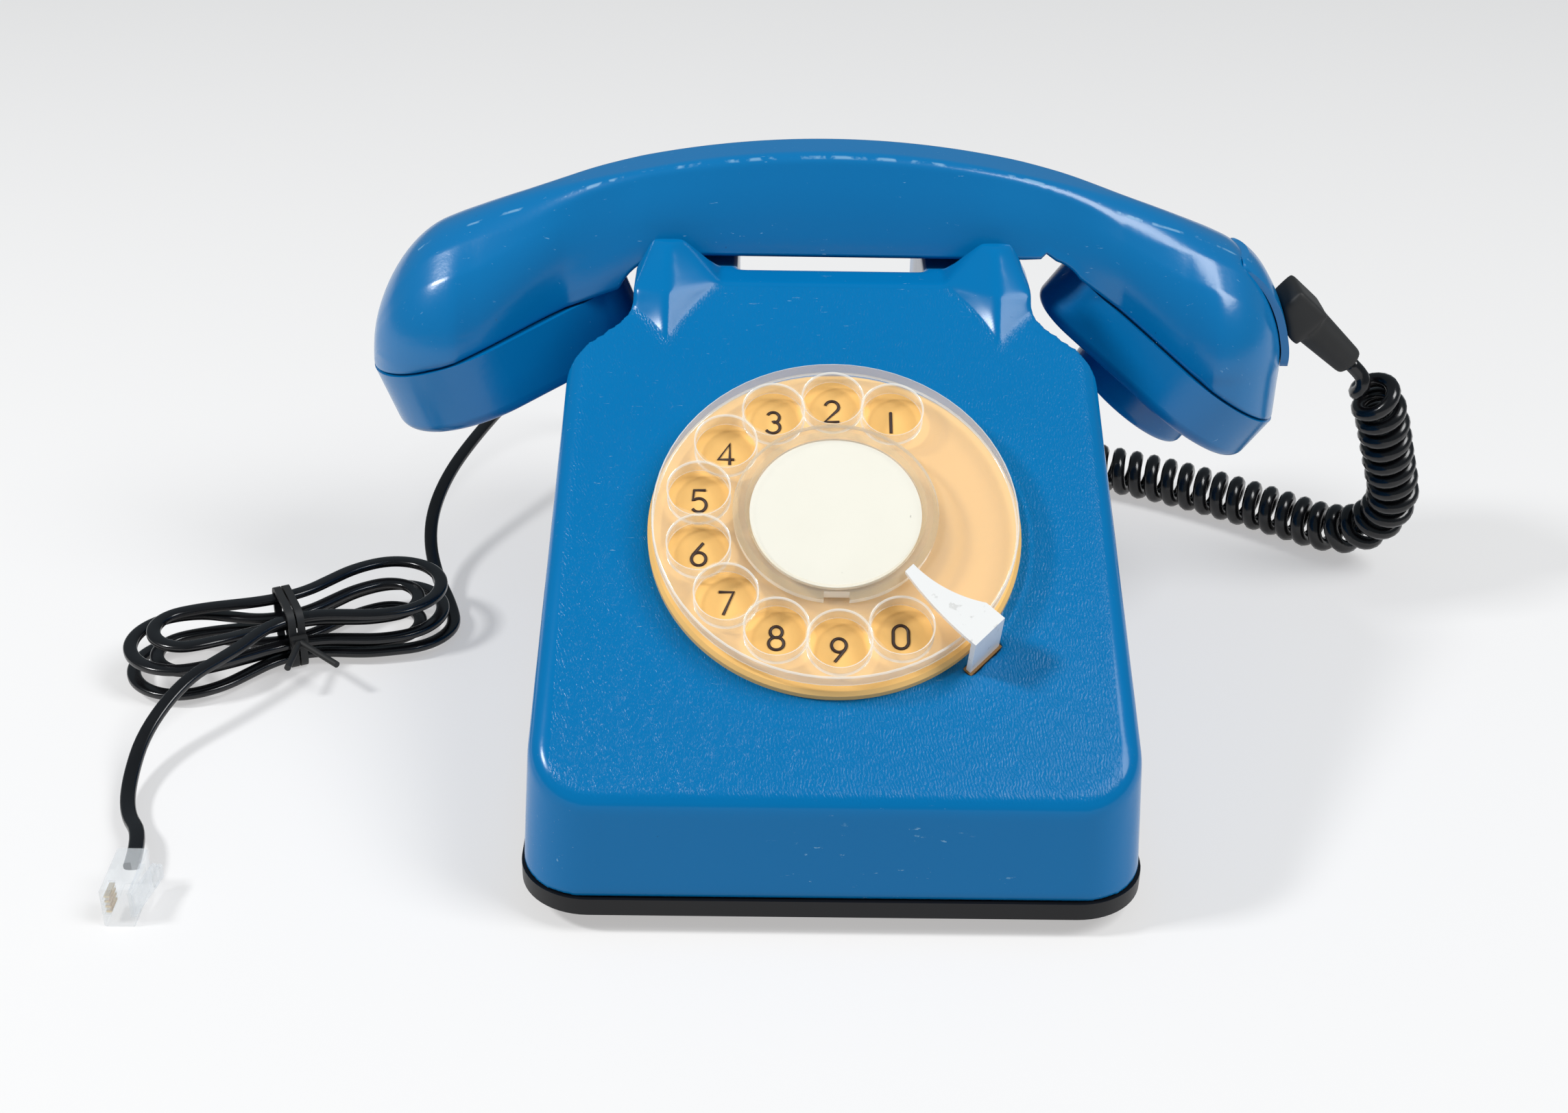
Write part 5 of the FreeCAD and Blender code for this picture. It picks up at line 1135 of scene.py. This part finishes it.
def cut_disc(name, rounds, low, high, bevel, count=72, steps=4):
    """A flat round piece with round holes; rounds are (x, y, radius), the outside first."""
    points = []
    faces = []
    rims = {low: [], high: []}
    for number, (x, y, radius) in enumerate(rounds):
        into = -1 if number == 0 else 1
        arc = [math.pi / 2 * k / steps for k in range(steps + 1)]
        outline = [(bevel * (1 - math.sin(a)), low + bevel * (1 - math.cos(a))) for a in arc]
        outline += [(bevel * (1 - math.cos(a)), high - bevel * (1 - math.sin(a))) for a in arc]
        first = len(points)
        for back, up in outline:
            points += [(*spot, up) for spot in circle_points(radius + into * back, count, (x, y))]
        for row in range(len(outline) - 1):
            for i in range(count):
                n = (i + 1) % count
                quad = [first + (row + r) * count + k for r, k in ((0, i), (0, n), (1, n), (1, i))]
                faces.append(tuple(quad if number == 0 else reversed(quad)))
        rims[low].append(range(first, first + count))
        rims[high].append(range(len(points) - count, len(points)))
    for level, loops in rims.items():
        order = [k for loop in loops for k in loop]
        flat = [Vector(points[k][:2]) for k in order]
        for a, b, c in mathutils.geometry.delaunay_2d_cdt(flat, [], [], 0, 1e-6)[2]:
            middle = (flat[a] + flat[b] + flat[c]) / 3
            if any((middle - Vector((x, y))).length < radius for x, y, radius in rounds[1:]):
                continue
            corners = (order[a], order[b], order[c])
            faces.append(corners if level == high else corners[::-1])
    return mesh_piece(name, [DIAL @ Vector(p) for p in points], faces)


WHEEL_RADIUS = 39.4
WHEEL_BORE = 5.0
WHEEL_LOW = 4.0
WHEEL_HIGH = 8.0
WHEEL_EDGE = 0.7
FINGER_RADIUS = 6.5
FINGER_CIRCLE = 30.0
FIRST_FINGER = 65.0
FINGER_STEP = 25.79
FINGER_TURNS = [math.radians(FIRST_FINGER + FINGER_STEP * i) for i in range(10)]
FINGER_SPOTS = [(FINGER_CIRCLE * math.cos(turn), FINGER_CIRCLE * math.sin(turn)) for turn in FINGER_TURNS]
wheel_rounds = [(0.0, 0.0, WHEEL_RADIUS), (0.0, 0.0, WHEEL_BORE)]
wheel_rounds += [(x, y, FINGER_RADIUS) for x, y in FINGER_SPOTS]
wheel = cut_disc("clear_finger_wheel", wheel_rounds, WHEEL_LOW, WHEEL_HIGH, WHEEL_EDGE)
print("wheel:", len(wheel.data.polygons), "faces")


# %% [markdown]
# ## The wheel's clear rims
#
# Clear plastic looks brighter at its walls and at its rounded rims. A single thin finish would lose them, and
# a glass shader was set aside above. So each face gets one of three clear finishes, by how it leans against
# the dial's axis; the paler, denser ones on walls and rims are partly thicker plastic and partly a painted
# reflection.

# %% Brighten the wheel's rims
FLAT_LEAN = 0.95
SLOPING_LEAN = 0.3


def smooth_by_angle(thing, degrees=35):
    """Smooth shading, apart from edges sharper than an angle."""
    with bpy.context.temp_override(object=thing, active_object=thing, selected_objects=[thing],
                                   selected_editable_objects=[thing]):
        bpy.ops.object.shade_smooth_by_angle(angle=math.radians(degrees))
    return thing


def mark_edges(thing, wall, edge):
    """Give upright faces one finish more and sloping ones another."""
    thing.data.materials.append(FINISH[wall])
    thing.data.materials.append(FINISH[edge])
    axis = DIAL.to_3x3() @ Vector((0, 0, 1))
    axis.normalize()
    for face in thing.data.polygons:
        lean = abs(face.normal.dot(axis))
        face.material_index = 0 if lean > FLAT_LEAN else 2 if lean > SLOPING_LEAN else 1


smooth_by_angle(wheel)
finish(wheel, "clear_wheel")
mark_edges(wheel, "clear_wall", "clear_edge")
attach(wheel, "dial")
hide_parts("finger_wheel")
print("wheel:", len(wheel.data.materials), "clear finishes")


# %% [markdown]
# ## The centre cap and the number plate
#
# A clear cap holds the white card in the wheel's middle, and a cream plate lies below
# the wheel. Both could be lathed again from an outline, but the CAD's shape is good
# already. A CAD mesh keeps its shape and its faces, so each of the two is copied first.
# The copy of the cap takes three finishes, and that of the plate is a little narrower.

# %% Dress the cap and the plate
def dressed_copy(source, name, look, body, wider=1.0):
    """A CAD piece copied to take a finish of its own, made wider or narrower about the dial's axis."""
    data = NODES[source].data.copy()
    data.name = name
    data.transform(DIAL @ Matrix.Diagonal((wider, wider, 1.0, 1.0)) @ DIAL.inverted())
    copy = smooth_by_angle(link(bpy.data.objects.new(name, data)))
    finish(copy, look)
    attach(copy, body)
    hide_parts(source)
    return copy


# The cap's upright walls take the paler rim finish, partly a painted reflection.
mark_edges(dressed_copy("centre_cap", "clear_centre", "clear_cap", "dial"), "clear_edge", "clear_ring")
cream_plate = dressed_copy("number_plate", "cream_plate", "number_cream", "base", 0.98)
print("plate:", len(cream_plate.data.polygons), "faces")


# %% [markdown]
# ## The dirt in the stop's slot
#
# The finger stop passes through a slot in the casing, with brown dirt round its foot. A
# painted line would need a mask in the casing's finish. A shallow block, sunk in the
# slot, is simpler to place, and shows as a thin brown line beside the metal.

# %% Fill the stop's slot
STOP_TURN = math.radians(-44)
SLOT_ACROSS = (41.85, 44.15)
SLOT_ALONG = (-4.9, 4.9)
SLOT_LEVELS = (-0.9, -0.3)
slot_ring = [(0, 0), (1, 0), (1, 1), (0, 1)]
slot_corners = [(SLOT_ACROSS[i], SLOT_ALONG[j], level) for level in SLOT_LEVELS for i, j in slot_ring]
slot_sides = [(0, 1, 5, 4), (1, 2, 6, 5), (2, 3, 7, 6), (3, 0, 4, 7), (4, 5, 6, 7), (3, 2, 1, 0)]
slot_turn = DIAL @ Matrix.Rotation(STOP_TURN, 4, "Z")
slot_dirt = mesh_piece("slot_dirt", [slot_turn @ Vector(p) for p in slot_corners], slot_sides, smooth=False)
finish(slot_dirt, "dirt")
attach(slot_dirt, "base")
print("slot dirt:", len(slot_sides), "faces")


# %% [markdown]
# ## The strokes of the digits
#
# Ten plain digits are printed on the plate, one below each finger hole. A text object
# would bring the look of its font with it. The real digits are thin, even strokes, so
# each one is written down as a short list of points and arcs.

# %% Write down the strokes
DIGITS = {
    "1": [(0, 1.0), (0, -1.0)],
    "2": ["arc 0 0.45 0.55 0.55 165 -40", (-0.58, -1.0), (0.6, -1.0)],
    "3": ["arc -0.02 0.5 0.5 0.5 150 -80", "arc -0.05 -0.45 0.58 0.55 90 -150"],
    "4": [(0.3, -1.0), (0.3, 1.0), (-0.62, -0.5), (0.66, -0.5)],
    "5": [(0.5, 1.0), (-0.42, 1.0), (-0.5, 0.08), "arc -0.02 -0.38 0.58 0.62 125 -145"],
    "6": [(0.32, 1.0), (-0.42, 0.0), "arc 0 -0.42 0.56 0.58 150 510"],
    "7": [(-0.58, 1.0), (0.56, 1.0), (-0.2, -1.0)],
    "8": ["arc 0 0.52 0.46 0.48 -90 270", "arc 0 -0.46 0.58 0.54 90 450"],
    "9": [(-0.32, -1.0), (0.42, 0.0), "arc 0 0.42 0.56 0.58 -30 330"],
    "0": ["arc 0 0.4 0.58 0.6 180 0", (0.58, -0.4), "arc 0 -0.4 0.58 0.6 0 -180", (-0.58, 0.4)],
}


def stroke_points(strokes):
    """The points of one digit, two units tall; an arc gives its middle, radii and two angles."""
    points = []
    for step in strokes:
        if isinstance(step, tuple):
            points.append(step)
        else:
            x, y, rx, ry, start, end = (float(v) for v in step.split()[1:])
            for i in range(25):
                t = math.radians(start + (end - start) * i / 24)
                points.append((x + rx * math.cos(t), y + ry * math.sin(t)))
    return points


print("strokes:", sum(len(stroke_points(strokes)) for strokes in DIGITS.values()), "points")


# %% [markdown]
# ## The digits on the plate
#
# A picture of the digits would need the plate to be unwrapped. Each list of points
# becomes a thin round curve instead, which lies on the plate at the middle of its hole.

# %% Draw the digits
DIGIT_HALF = 2.75
DIGIT_LEVEL = 2.42
DIGIT_STROKE = 0.36


def draw_digit(text, middle):
    """One digit on the plate, as a curve with a round section."""
    data = bpy.data.curves.new("digit_" + text, "CURVE")
    data.dimensions = "3D"
    line = data.splines.new("POLY")
    points = stroke_points(DIGITS[text])
    line.points.add(len(points) - 1)
    for spot, (x, y) in zip(line.points, points):
        flat = (middle[0] + x * DIGIT_HALF, middle[1] + y * DIGIT_HALF, DIGIT_LEVEL)
        spot.co = (*(DIAL @ Vector(flat)), 1)
        spot.radius = MM
    data.bevel_depth = DIGIT_STROKE
    data.bevel_resolution = 2
    data.use_fill_caps = True
    digit = link(bpy.data.objects.new("digit_" + text, data))
    finish(digit, "ink")
    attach(digit, "base")
    return digit


for i, spot in enumerate(FINGER_SPOTS):
    draw_digit(str((i + 1) % 10), spot)
print("digits:", len(FINGER_SPOTS))


# %% [markdown]
# ## Edges of the plain pieces
#
# No real edge is perfectly sharp, and each catches a thin line of light. The edges could
# be rounded in the CAD, but a bevel modifier is quick to change and leaves the mesh as it
# is. It goes on the pieces whose edges show, and every CAD piece gets smooth shading.

# %% Soften plain edges
BEVELS = {"base_plate": 0.7, "finger_stop": 0.3, "cord_collar": 0.6,
          "hook_plunger_left": 0.4, "hook_plunger_right": 0.4, "twist_tie": 0.25}
for name, thing in NODES.items():
    smooth_by_angle(thing)
    if name in BEVELS:
        edge = thing.modifiers.new("edge", "BEVEL")
        edge.width = BEVELS[name] * MM
        edge.segments = 3
        edge.limit_method = "ANGLE"
        edge.angle_limit = math.radians(40)
        edge.harden_normals = True
print("edges:", len(BEVELS), "pieces bevelled")


# %% [markdown]
# ## The floor and the sky
#
# The telephone stands on a plain white ground. A white floor under strong lamps would do,
# but strong lamps would bleach the blue. So the floor is grey with some light of its
# own, and the sky is dim and slightly cool.

# %% Lay the floor and the sky
FLOOR_HALF = 3.0
floor_corners = [(x * FLOOR_HALF, y * FLOOR_HALF, 0) for x, y in ((-1, -1), (1, -1), (1, 1), (-1, 1))]
floor = mesh_piece("floor", floor_corners, [(0, 1, 2, 3)])
floor.data.materials.append(plain("floor_white", (0.44, 0.44, 0.44), roughness=0.8, emission_strength=1.0,
                                  emission_color=(0.45, 0.44, 0.435, 1.0)))
world = bpy.data.worlds.new("studio")
world.use_nodes = True
sky = world.node_tree.nodes["Background"]
sky.inputs["Color"].default_value = (0.75, 0.9, 1.0, 1.0)
sky.inputs["Strength"].default_value = 0.22
bpy.context.scene.world = world
print("floor:", 2 * FLOOR_HALF, "m wide")


# %% [markdown]
# ## The lamps
#
# The shadows and highlights of the photograph suggest a small lamp at the upper left and
# a broader one at the right. A sun would light the shapes too, but it has no outline to
# be mirrored. Two flat lamps have, and their shapes show in the glossy plastic.

# %% Hang the lamps
def lamp(name, spot, aim, wide, power):
    """A flat lamp of a width and height in metres, turned towards its aim."""
    data = bpy.data.lights.new(name, "AREA")
    data.shape = "RECTANGLE"
    data.size = wide[0]
    data.size_y = wide[1]
    data.energy = power
    thing = link(bpy.data.objects.new(name, data))
    thing.location = spot
    thing.rotation_euler = (Vector(aim) - Vector(spot)).to_track_quat("-Z", "Y").to_euler()
    return thing


LAMP_AIM = (0.0, 0.0, 0.05)
lamp("key", (-0.88, -0.24, 0.92), LAMP_AIM, wide=(0.19, 0.19), power=10.0)
lamp("softbox", (0.75, -0.34, 1.1), LAMP_AIM, wide=(0.5, 0.7), power=12.0)
bpy.context.scene.view_settings.view_transform = "Standard"
print("lamps:", len(bpy.data.lights))


# %% [markdown] ## Size The finished object has to keep to the CAD's size.
